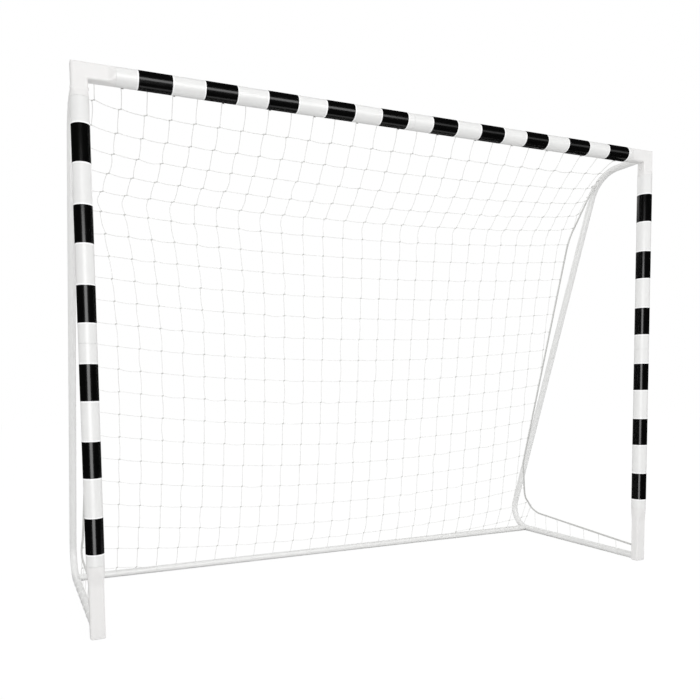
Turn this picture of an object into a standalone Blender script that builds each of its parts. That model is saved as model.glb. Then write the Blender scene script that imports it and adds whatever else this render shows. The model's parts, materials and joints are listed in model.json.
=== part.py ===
"""Free-standing football goal: banded round front frame, bent side frames, ground bar and knotted net.

Metres, +Z up. X runs along the crossbar and +Y points backwards, away from the pitch. The pieces are drawn
with the origin on the ground, below the middle of the crossbar's axis. At the end they all move along Y, so
that the origin lies under the middle of the goal's depth.
"""

import math

import bmesh
import bpy
from mathutils import Matrix, Vector

# Overall sizes
GOAL_WIDTH = 2.400
GOAL_HEIGHT = 1.780
TOP_RUN = 0.256
GROUND_RUN = 0.845

# Tubes
POST_DIAMETER = 0.057
POST_WALL = 0.0015
SIDE_DIAMETER = 0.028
SIDE_WALL = 0.0012
TOP_BEND_RADIUS = 0.150
GROUND_BEND_RADIUS = 0.100
BEND_STEPS = 7
POST_SIDES = 20
SIDE_SIDES = 14

# Flat-sided corner connectors and feet: width runs along the crossbar, depth from front to back
CORNER_WIDTH = 0.050
CORNER_DEPTH = 0.038
CORNER_EDGE_RADIUS = 0.007
CORNER_POST_LEG = 0.056
CORNER_BAR_LEG = 0.084
CORNER_TAPER = 0.024
FOOT_WIDTH = 0.047
FOOT_DEPTH = 0.033
FOOT_EDGE_RADIUS = 0.006
FOOT_HEIGHT = 0.165
FOOT_TAPER = 0.070
BLOCK_WALL = 0.002
SOLE_CHAMFER = 0.002
SOLE_THICKNESS = 0.004

# Plug joints, where one tube's reduced end slides into the next tube
CLEARANCE = 0.0003
POST_PLUG_LENGTH = 0.070
SIDE_PLUG_LENGTH = 0.055
PLUG_CHAMFER = 0.002
SIDE_JOINT_HEIGHT = 0.920

# Snap buttons and their leaf springs
BUTTON_FROM_JOINT = 0.028
BUTTON_RADIUS = 0.0040
BUTTON_HOLE_RADIUS = 0.0044
BUTTON_PROUD = 0.0035
BUTTON_DOME = 0.0016
BUTTON_FLANGE_RADIUS = 0.0055
BUTTON_FLANGE_THICKNESS = 0.0012
BUTTON_SIDES = 12
LEAF_WIDTH = 0.008
LEAF_THICKNESS = 0.0008
LEAF_LENGTH = 0.040
LEAF_TAIL = 0.006

# Bands
BAND_FROM_CORNER = 0.160
BAND_FROM_GROUND = 0.274
BAND_THICKNESS = 0.0005
POST_BANDS = 6
POST_BAND_LENGTH = 0.114
BAR_BANDS = 10
BAR_BAND_LENGTH = 0.1066
BAR_BANDS_FROM_LEFT = 0.177
BAR_BANDS_FROM_RIGHT = 0.124

# Net
TWINE = 0.0035
ROPE_DIAMETER = 0.006
KNEE_HEIGHT = 1.453
KNEE_AHEAD_OF_FRAME = 0.065
SKIRT_HEIGHT = 0.150
SKIRT_AHEAD_OF_FRAME = 0.149
LEFT_NET_INSET = 0.014
RIGHT_NET_INSET = 0.118
NET_COLUMNS = 18
ROOF_ROWS = 3
BACK_ROWS = 11
FLARE_ROWS = 2
SKIRT_ROWS = 1
STRIP_COLUMNS = 7
STRIP_ROWS = 1
ROOF_EDGE_CREST = (0.160, 0.024)
ROOF_EDGE_FULLNESS = 8
ROPE_FROM_BEND_STEP = 5
ROPE_FROM_ROOF_SHARE = 0.40
NET_TO_ROPE = 0.0045
ROPE_TURN_SHARE = 0.80
ROPE_TURN_RUN = 0.050
ROPE_LOW_HEIGHT = 0.1125
ROPE_AT_FOOT_HEIGHT = 0.066
ROPE_BEND_STEPS = 7
STRIP_FROM_FOOT = 0.020
STRIP_TO_BEND = 0.010

# Places worked out from the sizes above
POST_RADIUS = POST_DIAMETER / 2
SIDE_RADIUS = SIDE_DIAMETER / 2
ROPE_RADIUS = ROPE_DIAMETER / 2
POST_X = GOAL_WIDTH / 2 - POST_RADIUS
BAR_Z = GOAL_HEIGHT - POST_RADIUS
GROUND_Z = SIDE_RADIUS
POST_BORE = POST_RADIUS - POST_WALL
SIDE_BORE = SIDE_RADIUS - SIDE_WALL
POST_PLUG_RADIUS = POST_BORE - CLEARANCE
SIDE_PLUG_RADIUS = SIDE_BORE - CLEARANCE
POST_PLUG_BORE = POST_PLUG_RADIUS - POST_WALL
SIDE_PLUG_BORE = SIDE_PLUG_RADIUS - SIDE_WALL
CORNER_REAR = CORNER_DEPTH / 2
FOOT_REAR = FOOT_DEPTH / 2
SLOPE = (GROUND_RUN - TOP_RUN) / (BAR_Z - GROUND_Z)
FIRST_BAND_TOP = BAR_Z - BAND_FROM_CORNER
POST_BAND_PITCH = (FIRST_BAND_TOP - BAND_FROM_GROUND - POST_BAND_LENGTH) / (POST_BANDS - 1)
BANDS_ABOVE_JOINT = POST_BANDS // 2
POST_JOINT_HEIGHT = FIRST_BAND_TOP - (BANDS_ABOVE_JOINT - 0.5) * POST_BAND_PITCH - POST_BAND_LENGTH / 2
SIDES = {"left": -1, "right": 1}

ALONG_X = Vector((1, 0, 0))
ALONG_Y = Vector((0, 1, 0))
ALONG_Z = Vector((0, 0, 1))


# Scene and materials
def clear_scene():
    for thing in list(bpy.data.objects):
        bpy.data.objects.remove(thing, do_unlink=True)


def finish(name, colour, roughness, metallic=0.0):
    made = bpy.data.materials.new(name)
    made.use_nodes = True
    shader = made.node_tree.nodes["Principled BSDF"]
    shader.inputs["Base Color"].default_value = (*colour, 1.0)
    shader.inputs["Roughness"].default_value = roughness
    shader.inputs["Metallic"].default_value = metallic
    return made


def add_object(name, mesh, material):
    thing = bpy.data.objects.new(name, mesh)
    thing.data.materials.append(material)
    bpy.context.scene.collection.objects.link(thing)
    return thing


def mesh_from(name, work, smooth_angle=40.0):
    bmesh.ops.recalc_face_normals(work, faces=work.faces)
    mesh = bpy.data.meshes.new(name)
    work.to_mesh(mesh)
    work.free()
    mesh.shade_smooth()
    mesh.set_sharp_from_angle(angle=math.radians(smooth_angle))
    return mesh


def cut(thing, cutter, operation="DIFFERENCE"):
    step = thing.modifiers.new(operation.lower(), "BOOLEAN")
    step.operation = operation
    step.solver = "EXACT"
    step.object = cutter


def as_helper(thing):
    thing.hide_render = True
    thing.display_type = "WIRE"
    return thing


# Cross-sections, as points (across, up) in the same order round the centre
def round_section(radius, sides):
    turns = ((step + 0.5) * math.tau / sides for step in range(sides))
    return [(radius * math.cos(turn), radius * math.sin(turn)) for turn in turns]


def flat_sided_section(size, edge_radius, sides):
    """A rectangle of depth by width with rounded corners."""
    depth, width = size
    points = []
    for step in range(sides):
        turn = (step + 0.5) * math.tau / sides
        quarter = int(turn / (math.pi / 2))
        share = (step % (sides // 4)) / (sides // 4 - 1)
        angle = (quarter + share) * math.pi / 2
        across = math.copysign(depth / 2 - edge_radius, math.cos(turn)) + edge_radius * math.cos(angle)
        up = math.copysign(width / 2 - edge_radius, math.sin(turn)) + edge_radius * math.sin(angle)
        points.append((across, up))
    return points


# Sweeps along a flat path: each station is a point and its cross-section
def directions(points):
    """The way in and the way out at each point, past points that coincide."""
    found = []
    last = len(points) - 1
    for index, point in enumerate(points):
        before = next((point - points[i] for i in range(index, -1, -1) if (point - points[i]).length > 1e-7), None)
        after = next((points[i] - point for i in range(index, last + 1) if (points[i] - point).length > 1e-7), None)
        way_in = (before or after).normalized()
        way_out = (after or before).normalized()
        found.append((way_in, way_out))
    return found


def sweep_rings(work, stations, normal):
    """One ring of vertices per station, mitred where the path turns."""
    rings = []
    for (point, section), (way_in, way_out) in zip(stations, directions([s[0] for s in stations])):
        up_in = normal.cross(way_in)
        up_out = normal.cross(way_out)
        up = (up_in + up_out) / (1 + up_in.dot(up_out))
        rings.append([work.verts.new(point + normal * a + up * b) for a, b in section])
    return rings


def bridge(work, first, second):
    count = len(first)
    for step in range(count):
        after = (step + 1) % count
        work.faces.new((first[step], first[after], second[after], second[step]))


def solid_sweep(name, stations, normal, material):
    work = bmesh.new()
    rings = sweep_rings(work, stations, normal)
    for first, second in zip(rings, rings[1:]):
        bridge(work, first, second)
    work.faces.new(rings[0])
    work.faces.new(rings[-1])
    return add_object(name, mesh_from(name, work), material)


def tube(name, stations, bores, normal, material):
    """A tube open at both ends: the outer stations, then the bore's stations, as one closed wall."""
    work = bmesh.new()
    outer = sweep_rings(work, stations, normal)
    inner = sweep_rings(work, bores, normal)
    loop = outer + inner[::-1]
    for first, second in zip(loop, loop[1:] + loop[:1]):
        bridge(work, first, second)
    return add_object(name, mesh_from(name, work), material)


def cup(name, stations, bores, normal, material):
    """A hollow sweep that is closed across its first station and open at its last."""
    work = bmesh.new()
    outer = sweep_rings(work, stations, normal)
    inner = sweep_rings(work, bores, normal)
    loop = outer + inner[::-1]
    for first, second in zip(loop, loop[1:]):
        bridge(work, first, second)
    work.faces.new(loop[0])
    work.faces.new(loop[-1])
    return add_object(name, mesh_from(name, work), material)


def plain_tube(name, path, radius, bore, sides, normal, material):
    outer = [(point, round_section(radius, sides)) for point in path]
    inner = [(point, round_section(bore, sides)) for point in path]
    return tube(name, outer, inner, normal, material)


def plug_tube(name, path, sizes, sides, normal, material):
    """A tube whose last stretch, past the path's end, is reduced to slide into its neighbour."""
    radius, wall, plug_radius, plug_length = sizes
    heading = (path[-1] - path[-2]).normalized()
    tip = path[-1] + heading * plug_length
    shoulder = path[-1] - heading * wall
    outer = [(point, round_section(radius, sides)) for point in path]
    outer.append((path[-1], round_section(plug_radius, sides)))
    outer.append((tip - heading * PLUG_CHAMFER, round_section(plug_radius, sides)))
    outer.append((tip, round_section(plug_radius - wall / 2, sides)))
    inner = [(point, round_section(radius - wall, sides)) for point in path[:-1]]
    inner.append((shoulder - heading * wall, round_section(radius - wall, sides)))
    inner.append((shoulder, round_section(plug_radius - wall, sides)))
    inner.append((tip, round_section(plug_radius - wall, sides)))
    return tube(name, outer, inner, normal, material)


def fillet(before, corner, after, radius, steps):
    """Points of the arc that rounds a corner of a flat path."""
    back = (before - corner).normalized()
    onward = (after - corner).normalized()
    half = back.angle(onward) / 2
    start = corner + back * (radius / math.tan(half))
    centre = corner + (back + onward).normalized() * (radius / math.sin(half))
    axis = back.cross(onward).normalized()
    turn = -(math.pi - 2 * half)
    arm = start - centre
    return [centre + Matrix.Rotation(turn * step / steps, 3, axis) @ arm for step in range(steps + 1)]


# Front frame
def post_tubes(side, sign, white):
    x = sign * POST_X
    foot_top = Vector((x, 0, FOOT_HEIGHT + FOOT_TAPER + CLEARANCE))
    joint = Vector((x, 0, POST_JOINT_HEIGHT))
    leg_end = Vector((x, 0, BAR_Z - CORNER_POST_LEG - CORNER_TAPER - CLEARANCE))
    sizes = (POST_RADIUS, POST_WALL, POST_PLUG_RADIUS, POST_PLUG_LENGTH)
    lower = plug_tube(f"post_{side}_lower", [foot_top, joint], sizes, POST_SIDES, ALONG_Y, white)
    upper_path = [joint + ALONG_Z * CLEARANCE, leg_end]
    upper = plain_tube(f"post_{side}_upper", upper_path, POST_RADIUS, POST_BORE, POST_SIDES, ALONG_Y, white)
    centre = joint + ALONG_Z * BUTTON_FROM_JOINT
    snap_button(f"post_{side}", centre, ALONG_Y, ALONG_Z, (POST_RADIUS, POST_PLUG_BORE), (lower, upper))


def crossbar_tubes(white):
    reach = POST_X - CORNER_BAR_LEG - CORNER_TAPER - CLEARANCE
    sizes = (POST_RADIUS, POST_WALL, POST_PLUG_RADIUS, POST_PLUG_LENGTH)
    joint = Vector((0, 0, BAR_Z))
    left_path = [Vector((-reach, 0, BAR_Z)), joint]
    left = plug_tube("crossbar_left", left_path, sizes, POST_SIDES, ALONG_Y, white)
    right_path = [joint + ALONG_X * CLEARANCE, Vector((reach, 0, BAR_Z))]
    right = plain_tube("crossbar_right", right_path, POST_RADIUS, POST_BORE, POST_SIDES, ALONG_Y, white)
    centre = joint + ALONG_X * BUTTON_FROM_JOINT
    snap_button("crossbar", centre, ALONG_Y, ALONG_X, (POST_RADIUS, POST_PLUG_BORE), (left, right))


def band(name, start, end, black):
    inner = POST_RADIUS + CLEARANCE
    plain_tube(name, [start, end], inner + BAND_THICKNESS, inner, POST_SIDES, ALONG_Y, black)


def bands(black):
    for side, sign in SIDES.items():
        for number in range(POST_BANDS):
            top = FIRST_BAND_TOP - number * POST_BAND_PITCH
            low = Vector((sign * POST_X, 0, top - POST_BAND_LENGTH))
            band(f"band_post_{side}_{number + 1}", low, Vector((sign * POST_X, 0, top)), black)
    first = BAR_BANDS_FROM_LEFT - POST_X
    last = POST_X - BAR_BANDS_FROM_RIGHT - BAR_BAND_LENGTH
    pitch = (last - first) / (BAR_BANDS - 1)
    for number in range(BAR_BANDS):
        start = Vector((first + number * pitch, 0, BAR_Z))
        band(f"band_bar_{number + 1:02d}", start, start + ALONG_X * BAR_BAND_LENGTH, black)


def plug_end(shoulder, heading):
    """Stations of a connector's leg from its round shoulder to the tip of its plug, and its bore's stations."""
    tip = shoulder + heading * POST_PLUG_LENGTH
    outer = [
        (shoulder, round_section(POST_RADIUS, POST_SIDES)),
        (shoulder, round_section(POST_PLUG_RADIUS, POST_SIDES)),
        (tip - heading * PLUG_CHAMFER, round_section(POST_PLUG_RADIUS, POST_SIDES)),
        (tip, round_section(POST_PLUG_RADIUS - BLOCK_WALL / 2, POST_SIDES)),
    ]
    plug_bore = round_section(POST_PLUG_RADIUS - BLOCK_WALL, POST_SIDES)
    inner = [(shoulder - heading * BLOCK_WALL, plug_bore), (tip, plug_bore)]
    return outer, inner


def block_sections(depth, width, edge_radius):
    """The outline of a block and the outline of its hollow."""
    hollow = (depth - 2 * BLOCK_WALL, width - 2 * BLOCK_WALL)
    return (
        flat_sided_section((depth, width), edge_radius, POST_SIDES),
        flat_sided_section(hollow, edge_radius - BLOCK_WALL / 2, POST_SIDES),
    )


def weld_side_peg(block, name, centre, rear):
    """Joins a short pipe to the rear wall of a block, for a side tube to slide over."""
    root = centre + ALONG_Y * (rear - BLOCK_WALL / 2)
    tip = centre + ALONG_Y * (rear + SIDE_PLUG_LENGTH)
    outer = [
        (root, round_section(SIDE_PLUG_RADIUS, SIDE_SIDES)),
        (tip - ALONG_Y * PLUG_CHAMFER, round_section(SIDE_PLUG_RADIUS, SIDE_SIDES)),
        (tip, round_section(SIDE_PLUG_RADIUS - SIDE_WALL / 2, SIDE_SIDES)),
    ]
    inner = [(root, round_section(SIDE_PLUG_BORE, SIDE_SIDES)), (tip, round_section(SIDE_PLUG_BORE, SIDE_SIDES))]
    peg = as_helper(tube(name, outer, inner, ALONG_X, bpy.data.materials["cutting"]))
    cut(block, peg, "UNION")


def corner_connector(side, sign, white):
    """A flat-sided elbow, mitred at its outer corner, with round plugs and a peg to the rear."""
    corner = Vector((sign * POST_X, 0, BAR_Z))
    inward = Vector((-sign, 0, 0))
    outline, hollow = block_sections(CORNER_DEPTH, CORNER_WIDTH, CORNER_EDGE_RADIUS)
    post_end = corner - ALONG_Z * CORNER_POST_LEG
    bar_end = corner + inward * CORNER_BAR_LEG
    post_plug, post_bore = plug_end(post_end - ALONG_Z * CORNER_TAPER, -ALONG_Z)
    bar_plug, bar_bore = plug_end(bar_end + inward * CORNER_TAPER, inward)
    stations = post_plug[::-1] + [(post_end, outline), (corner, outline), (bar_end, outline)] + bar_plug
    bores = post_bore[::-1] + [(post_end, hollow), (corner, hollow), (bar_end, hollow)] + bar_bore
    block = tube(f"corner_connector_{side}", stations, bores, ALONG_Y, white)
    weld_side_peg(block, f"corner_peg_{side}", corner, CORNER_REAR)


def foot(side, sign, white):
    """A flat-sided foot that goes round where the post starts, with a peg for the ground run."""
    base = Vector((sign * POST_X, 0, 0))
    outline, hollow = block_sections(FOOT_DEPTH, FOOT_WIDTH, FOOT_EDGE_RADIUS)
    sole_size = (FOOT_DEPTH - 2 * SOLE_CHAMFER, FOOT_WIDTH - 2 * SOLE_CHAMFER)
    sole = flat_sided_section(sole_size, FOOT_EDGE_RADIUS / 2, POST_SIDES)
    flat_end = base + ALONG_Z * FOOT_HEIGHT
    plug, bore = plug_end(flat_end + ALONG_Z * FOOT_TAPER, ALONG_Z)
    stations = [(base, sole), (base + ALONG_Z * SOLE_CHAMFER, outline), (flat_end, outline)] + plug
    bores = [(base + ALONG_Z * SOLE_THICKNESS, hollow), (flat_end, hollow)] + bore
    block = cup(f"foot_{side}", stations, bores, ALONG_Y, white)
    weld_side_peg(block, f"foot_peg_{side}", base + ALONG_Z * GROUND_Z, FOOT_REAR)


# Side frames
def slope_point(x, z):
    """The point of a side frame's sloping axis at a height."""
    return Vector((x, GROUND_RUN - (z - GROUND_Z) * SLOPE, z))


def side_path(x):
    """The side frame's whole axis, from the corner connector to the foot, and its two halves."""
    start = Vector((x, CORNER_REAR + CLEARANCE, BAR_Z))
    end = Vector((x, FOOT_REAR + CLEARANCE, GROUND_Z))
    top = slope_point(x, BAR_Z)
    low = slope_point(x, GROUND_Z)
    joint = slope_point(x, SIDE_JOINT_HEIGHT)
    upper = [start] + fillet(start, top, low, TOP_BEND_RADIUS, BEND_STEPS) + [joint]
    lower = [joint] + fillet(top, low, end, GROUND_BEND_RADIUS, BEND_STEPS) + [end]
    return upper, lower


def side_frame(side, sign, white):
    x = sign * POST_X
    upper_path, lower_path = side_path(x)
    downhill = (lower_path[1] - lower_path[0]).normalized()
    sizes = (SIDE_RADIUS, SIDE_WALL, SIDE_PLUG_RADIUS, SIDE_PLUG_LENGTH)
    upper = plug_tube(f"side_frame_{side}_upper", upper_path, sizes, SIDE_SIDES, ALONG_X, white)
    lower_path[0] = lower_path[0] + downhill * CLEARANCE
    lower = plain_tube(
        f"side_frame_{side}_lower", lower_path, SIDE_RADIUS, SIDE_BORE, SIDE_SIDES, ALONG_X, white
    )
    centre = slope_point(x, SIDE_JOINT_HEIGHT) + downhill * BUTTON_FROM_JOINT
    rearward = ALONG_X.cross(downhill)
    snap_button(f"side_frame_{side}", centre, rearward, downhill, (SIDE_RADIUS, SIDE_PLUG_BORE), (upper, lower))


def ground_bend_start():
    """How far back the ground run is straight."""
    path = side_path(0)[1]
    return path[-2].y


# Rear ground bar
def rear_bar(white):
    """The two tubes of the rear bar and, on each side frame, the coped stub that a tube slides over."""
    y = ground_bend_start() + SIDE_RADIUS
    joint = Vector((0, y, GROUND_Z))
    sizes = (SIDE_RADIUS, SIDE_WALL, SIDE_PLUG_RADIUS, SIDE_PLUG_LENGTH)
    left_path = [Vector((-POST_X, y, GROUND_Z)), joint]
    left = plug_tube("rear_bar_left", left_path, sizes, SIDE_SIDES, ALONG_Y, white)
    right_path = [joint + ALONG_X * CLEARANCE, Vector((POST_X, y, GROUND_Z))]
    right = plain_tube("rear_bar_right", right_path, SIDE_RADIUS, SIDE_BORE, SIDE_SIDES, ALONG_Y, white)
    centre = joint + ALONG_X * BUTTON_FROM_JOINT
    snap_button("rear_bar", centre, ALONG_Y, ALONG_X, (SIDE_RADIUS, SIDE_PLUG_BORE), (left, right))
    for side, bar in (("left", left), ("right", right)):
        sign = SIDES[side]
        reach = SIDE_RADIUS + SIDE_PLUG_LENGTH
        stub_path = [Vector((sign * POST_X, y, GROUND_Z)), Vector((sign * (POST_X - reach), y, GROUND_Z))]
        stub = plain_tube(
            f"rear_stub_{side}", stub_path, SIDE_PLUG_RADIUS, SIDE_PLUG_BORE, SIDE_SIDES, ALONG_Y, white
        )
        side_axis = side_path(sign * POST_X)[1]
        section = round_section(SIDE_RADIUS + CLEARANCE, SIDE_SIDES)
        cope = as_helper(
            solid_sweep(f"cope_{side}", [(p, section) for p in side_axis], ALONG_X, bpy.data.materials["cutting"])
        )
        beyond = as_helper(box_cutter(f"beyond_{side}", Vector((sign * (POST_X + POST_RADIUS), y, GROUND_Z))))
        for thing in (bar, stub):
            cut(thing, beyond)
            cut(thing, cope)


def box_cutter(name, centre):
    """A block that removes what lies past a side frame's axis."""
    work = bmesh.new()
    bmesh.ops.create_cube(work, size=1.0)
    bmesh.ops.scale(work, vec=Vector((POST_DIAMETER, 4 * SIDE_DIAMETER, 4 * SIDE_DIAMETER)), verts=work.verts)
    bmesh.ops.translate(work, vec=centre, verts=work.verts)
    return add_object(name, mesh_from(name, work), bpy.data.materials["cutting"])


# Snap buttons
def snap_button(name, centre, outward, along, sizes, pierced):
    """A sprung pin through the walls of two tubes, and the bent leaf spring behind it.

    centre is on the tubes' axis, outward the way the pin stands out, along the way down the plug.
    """
    tube_radius, bore = sizes
    steel = bpy.data.materials["zinc_steel"]
    sideways = outward.cross(along)
    flange_top = math.sqrt(bore**2 - BUTTON_FLANGE_RADIUS**2) - CLEARANCE
    flange_low = flange_top - BUTTON_FLANGE_THICKNESS
    tip = tube_radius + BUTTON_PROUD
    profile = [
        (flange_low, BUTTON_FLANGE_RADIUS),
        (flange_top, BUTTON_FLANGE_RADIUS),
        (flange_top, BUTTON_RADIUS),
        (tip - BUTTON_DOME, BUTTON_RADIUS),
        (tip - BUTTON_DOME * 0.4, BUTTON_RADIUS * 0.75),
        (tip, BUTTON_RADIUS * 0.3),
    ]
    stations = [(outward * height, round_section(radius, BUTTON_SIDES)) for height, radius in profile]
    pin = solid_sweep(f"snap_button_{name}", stations, sideways, steel)
    pin.location = centre
    hole_section = round_section(BUTTON_HOLE_RADIUS, BUTTON_SIDES)
    hole_path = [(centre, hole_section), (centre + outward * 2 * tube_radius, hole_section)]
    hole = as_helper(solid_sweep(f"button_hole_{name}", hole_path, sideways, bpy.data.materials["cutting"]))
    for thing in pierced:
        cut(thing, hole)
    leaf_spring(f"leaf_spring_{name}", centre, (outward, along, sideways), flange_low - CLEARANCE, bore)


def leaf_spring(name, centre, axes, seat, bore):
    """A strip of spring steel bent double: one arm under the pin, the other on the far wall."""
    outward, along, sideways = axes
    far = -math.sqrt(bore**2 - (LEAF_WIDTH / 2) ** 2) + CLEARANCE
    bend = 0.25 * (seat - far)
    middle = (seat + far) / 2
    outer = [(-LEAF_TAIL, seat), (LEAF_TAIL, seat), (LEAF_LENGTH - bend, middle + bend)]
    outer += [(LEAF_LENGTH, middle), (LEAF_LENGTH - bend, middle - bend)]
    outer += [(LEAF_TAIL, far), (-LEAF_TAIL, far)]
    inner = [(-LEAF_TAIL, far + LEAF_THICKNESS), (LEAF_TAIL, far + LEAF_THICKNESS)]
    inner += [(LEAF_LENGTH - bend - LEAF_THICKNESS, middle - bend + LEAF_THICKNESS)]
    inner += [(LEAF_LENGTH - 1.5 * LEAF_THICKNESS, middle)]
    inner += [(LEAF_LENGTH - bend - LEAF_THICKNESS, middle + bend - LEAF_THICKNESS)]
    inner += [(LEAF_TAIL, seat - LEAF_THICKNESS), (-LEAF_TAIL, seat - LEAF_THICKNESS)]
    work = bmesh.new()
    rim = [work.verts.new(centre + along * a + outward * h - sideways * LEAF_WIDTH / 2) for a, h in outer + inner]
    face = work.faces.new(rim)
    grown = bmesh.ops.extrude_face_region(work, geom=[face])
    moved = [v for v in grown["geom"] if isinstance(v, bmesh.types.BMVert)]
    bmesh.ops.translate(work, vec=sideways * LEAF_WIDTH, verts=moved)
    add_object(name, mesh_from(name, work), bpy.data.materials["zinc_steel"])


# Net: each panel is a flat sheet of knotted strands, drawn as a grid with its gaps left out
def strand_lines(count, length):
    """Both edges of each of count + 1 strands, spread over a length."""
    pitch = (length - TWINE) / count
    return [value for step in range(count + 1) for value in (step * pitch, step * pitch + TWINE)]


def net_panel(name, place, columns, rows, size, twine):
    """A net of columns by rows gaps. place turns the distances across and down into a point."""
    across = strand_lines(columns, size[0])
    down = strand_lines(rows, size[1])
    work = bmesh.new()
    grid = [[work.verts.new(place(a / size[0], d)) for a in across] for d in down]
    for row in range(len(down) - 1):
        for column in range(len(across) - 1):
            if row % 2 and column % 2:
                continue
            corners = (
                grid[row][column],
                grid[row][column + 1],
                grid[row + 1][column + 1],
                grid[row + 1][column],
            )
            work.faces.new(corners)
    panel = add_object(name, mesh_from(name, work), twine)
    wall = panel.modifiers.new("twine thickness", "SOLIDIFY")
    wall.thickness = TWINE
    wall.offset = 0.0
    wall.use_even_offset = True
    return panel


def net_profile():
    """The net's fold lines in the frame's side view: crossbar, knee, skirt fold and rear bar."""
    axis = Vector((0, 0, BAR_Z))
    knee = slope_point(0, KNEE_HEIGHT) - ALONG_Y * KNEE_AHEAD_OF_FRAME
    fold = slope_point(0, SKIRT_HEIGHT) - ALONG_Y * SKIRT_AHEAD_OF_FRAME
    rear = Vector((0, ground_bend_start() + SIDE_RADIUS, GROUND_Z))
    seat = POST_RADIUS + BAND_THICKNESS + 2 * CLEARANCE + TWINE / 4
    bar = axis + (knee - axis).normalized() * seat
    return bar, knee, fold, rear


def rope_x(sign, height):
    """The edge rope's place across the goal: it flares out to its tube in the last rows."""
    beside_tube = POST_X - SIDE_RADIUS - CLEARANCE - ROPE_RADIUS
    flare_height = SKIRT_HEIGHT + (KNEE_HEIGHT - SKIRT_HEIGHT) * FLARE_ROWS / BACK_ROWS
    share = (height - SKIRT_HEIGHT) / (flare_height - SKIRT_HEIGHT)
    inset = RIGHT_NET_INSET if sign > 0 else LEFT_NET_INSET
    return sign * (beside_tube - inset * min(max(share, 0.0), 1.0))


def rope_start(sign):
    """The point beside the top bend where the edge rope is tied to its tube."""
    bend_point = side_path(0)[0][1 + ROPE_FROM_BEND_STEP]
    return bend_point + ALONG_X * rope_x(sign, 0)


def roof_edge(sign, share):
    """The roof's edge at one side: behind the bar, along the level tube, then down the edge rope."""
    bar, knee = net_profile()[:2]
    tied = rope_start(sign)
    corner = knee + ALONG_X * rope_x(sign, KNEE_HEIGHT)
    if share > ROPE_FROM_ROOF_SHARE:
        point = tied.lerp(corner, (share - ROPE_FROM_ROOF_SHARE) / (1 - ROPE_FROM_ROOF_SHARE))
    else:
        along = share / ROPE_FROM_ROOF_SHARE
        crest = Vector((tied.x, ROOF_EDGE_CREST[0], BAR_Z + ROOF_EDGE_CREST[1]))
        start = bar + ALONG_X * tied.x
        point = start * (1 - along) ** 2 + crest * 2 * along * (1 - along) + tied * along**2
    return point - ALONG_X * sign * NET_TO_ROPE


def roof_point(share, down):
    """A point of the roof: flat in the middle and lifted along both sides to its edges."""
    bar, knee = net_profile()[:2]
    left, right = roof_edge(-1, down), roof_edge(1, down)
    flat = bar.lerp(knee, down)
    lifted = flat.lerp(Vector((0, right.y, right.z)), abs(2 * share - 1) ** ROOF_EDGE_FULLNESS)
    return lifted + ALONG_X * (left.x + (right.x - left.x) * share)


def fold_gap(first, second):
    """How far a panel's edge stays from a fold so that two panels meet without overlapping."""
    return TWINE / 2 * math.tan(first.angle(second) / 2) + CLEARANCE / 2


def net(twine):
    bar, knee, fold, rear = net_profile()
    roof, back, skirt = knee - bar, fold - knee, rear - fold
    width = 2 * (rope_x(1, 0) - NET_TO_ROPE)
    roof_length = roof.length - fold_gap(roof, back)

    def roof_place(share, down):
        return roof_point(share, down / roof.length)

    net_panel("net_roof", roof_place, NET_COLUMNS, ROOF_ROWS, (width, roof_length), twine)
    runs = (
        ("net_back", knee, back, fold_gap(roof, back), fold_gap(back, skirt), BACK_ROWS),
        ("net_skirt", fold, skirt, fold_gap(back, skirt), SIDE_RADIUS + CLEARANCE, SKIRT_ROWS),
    )
    for name, origin, run, start, stop, rows in runs:
        heading = run.normalized()

        def place(share, down, origin=origin, heading=heading, start=start):
            point = origin + heading * (start + down)
            left = rope_x(-1, point.z) + NET_TO_ROPE
            right = rope_x(1, point.z) - NET_TO_ROPE
            return point + ALONG_X * (left + (right - left) * share)

        net_panel(name, place, NET_COLUMNS, rows, (width, run.length - start - stop), twine)


# Edge ropes and the narrow side nets under them
def rope_low_depth():
    """How far back the rope's straight run over the ground tube reaches."""
    return net_profile()[2].y - ROPE_TURN_RUN


def rope_points(sign):
    """The rope's axis: from the top bend to the knee, down the net's edge, then forward to the foot."""
    knee, fold = net_profile()[1:3]
    flare = knee.lerp(fold, 1 - FLARE_ROWS / BACK_ROWS)
    turn = fold + ALONG_X * rope_x(sign, fold.z)
    points = [rope_start(sign)]
    points += [point + ALONG_X * rope_x(sign, point.z) for point in (knee, flare)]
    leaving = points[-1].lerp(turn, ROPE_TURN_SHARE)
    low = Vector((turn.x, rope_low_depth(), ROPE_LOW_HEIGHT))
    for step in range(ROPE_BEND_STEPS + 1):
        share = step / ROPE_BEND_STEPS
        points.append(leaving * (1 - share) ** 2 + turn * 2 * share * (1 - share) + low * share**2)
    points.append(Vector((turn.x, FOOT_REAR + CLEARANCE, ROPE_AT_FOOT_HEIGHT)))
    return points


def edge_rope(side, sign, twine):
    line = bpy.data.curves.new(f"edge_rope_{side}", "CURVE")
    line.dimensions = "3D"
    line.bevel_depth = ROPE_RADIUS
    line.bevel_resolution = 1
    line.use_fill_caps = True
    points = rope_points(sign)
    spline = line.splines.new("POLY")
    spline.points.add(len(points) - 1)
    for spot, point in zip(spline.points, points):
        spot.co = (*point, 1.0)
    rope = bpy.data.objects.new(f"edge_rope_{side}", line)
    line.materials.append(twine)
    bpy.context.scene.collection.objects.link(rope)


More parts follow.
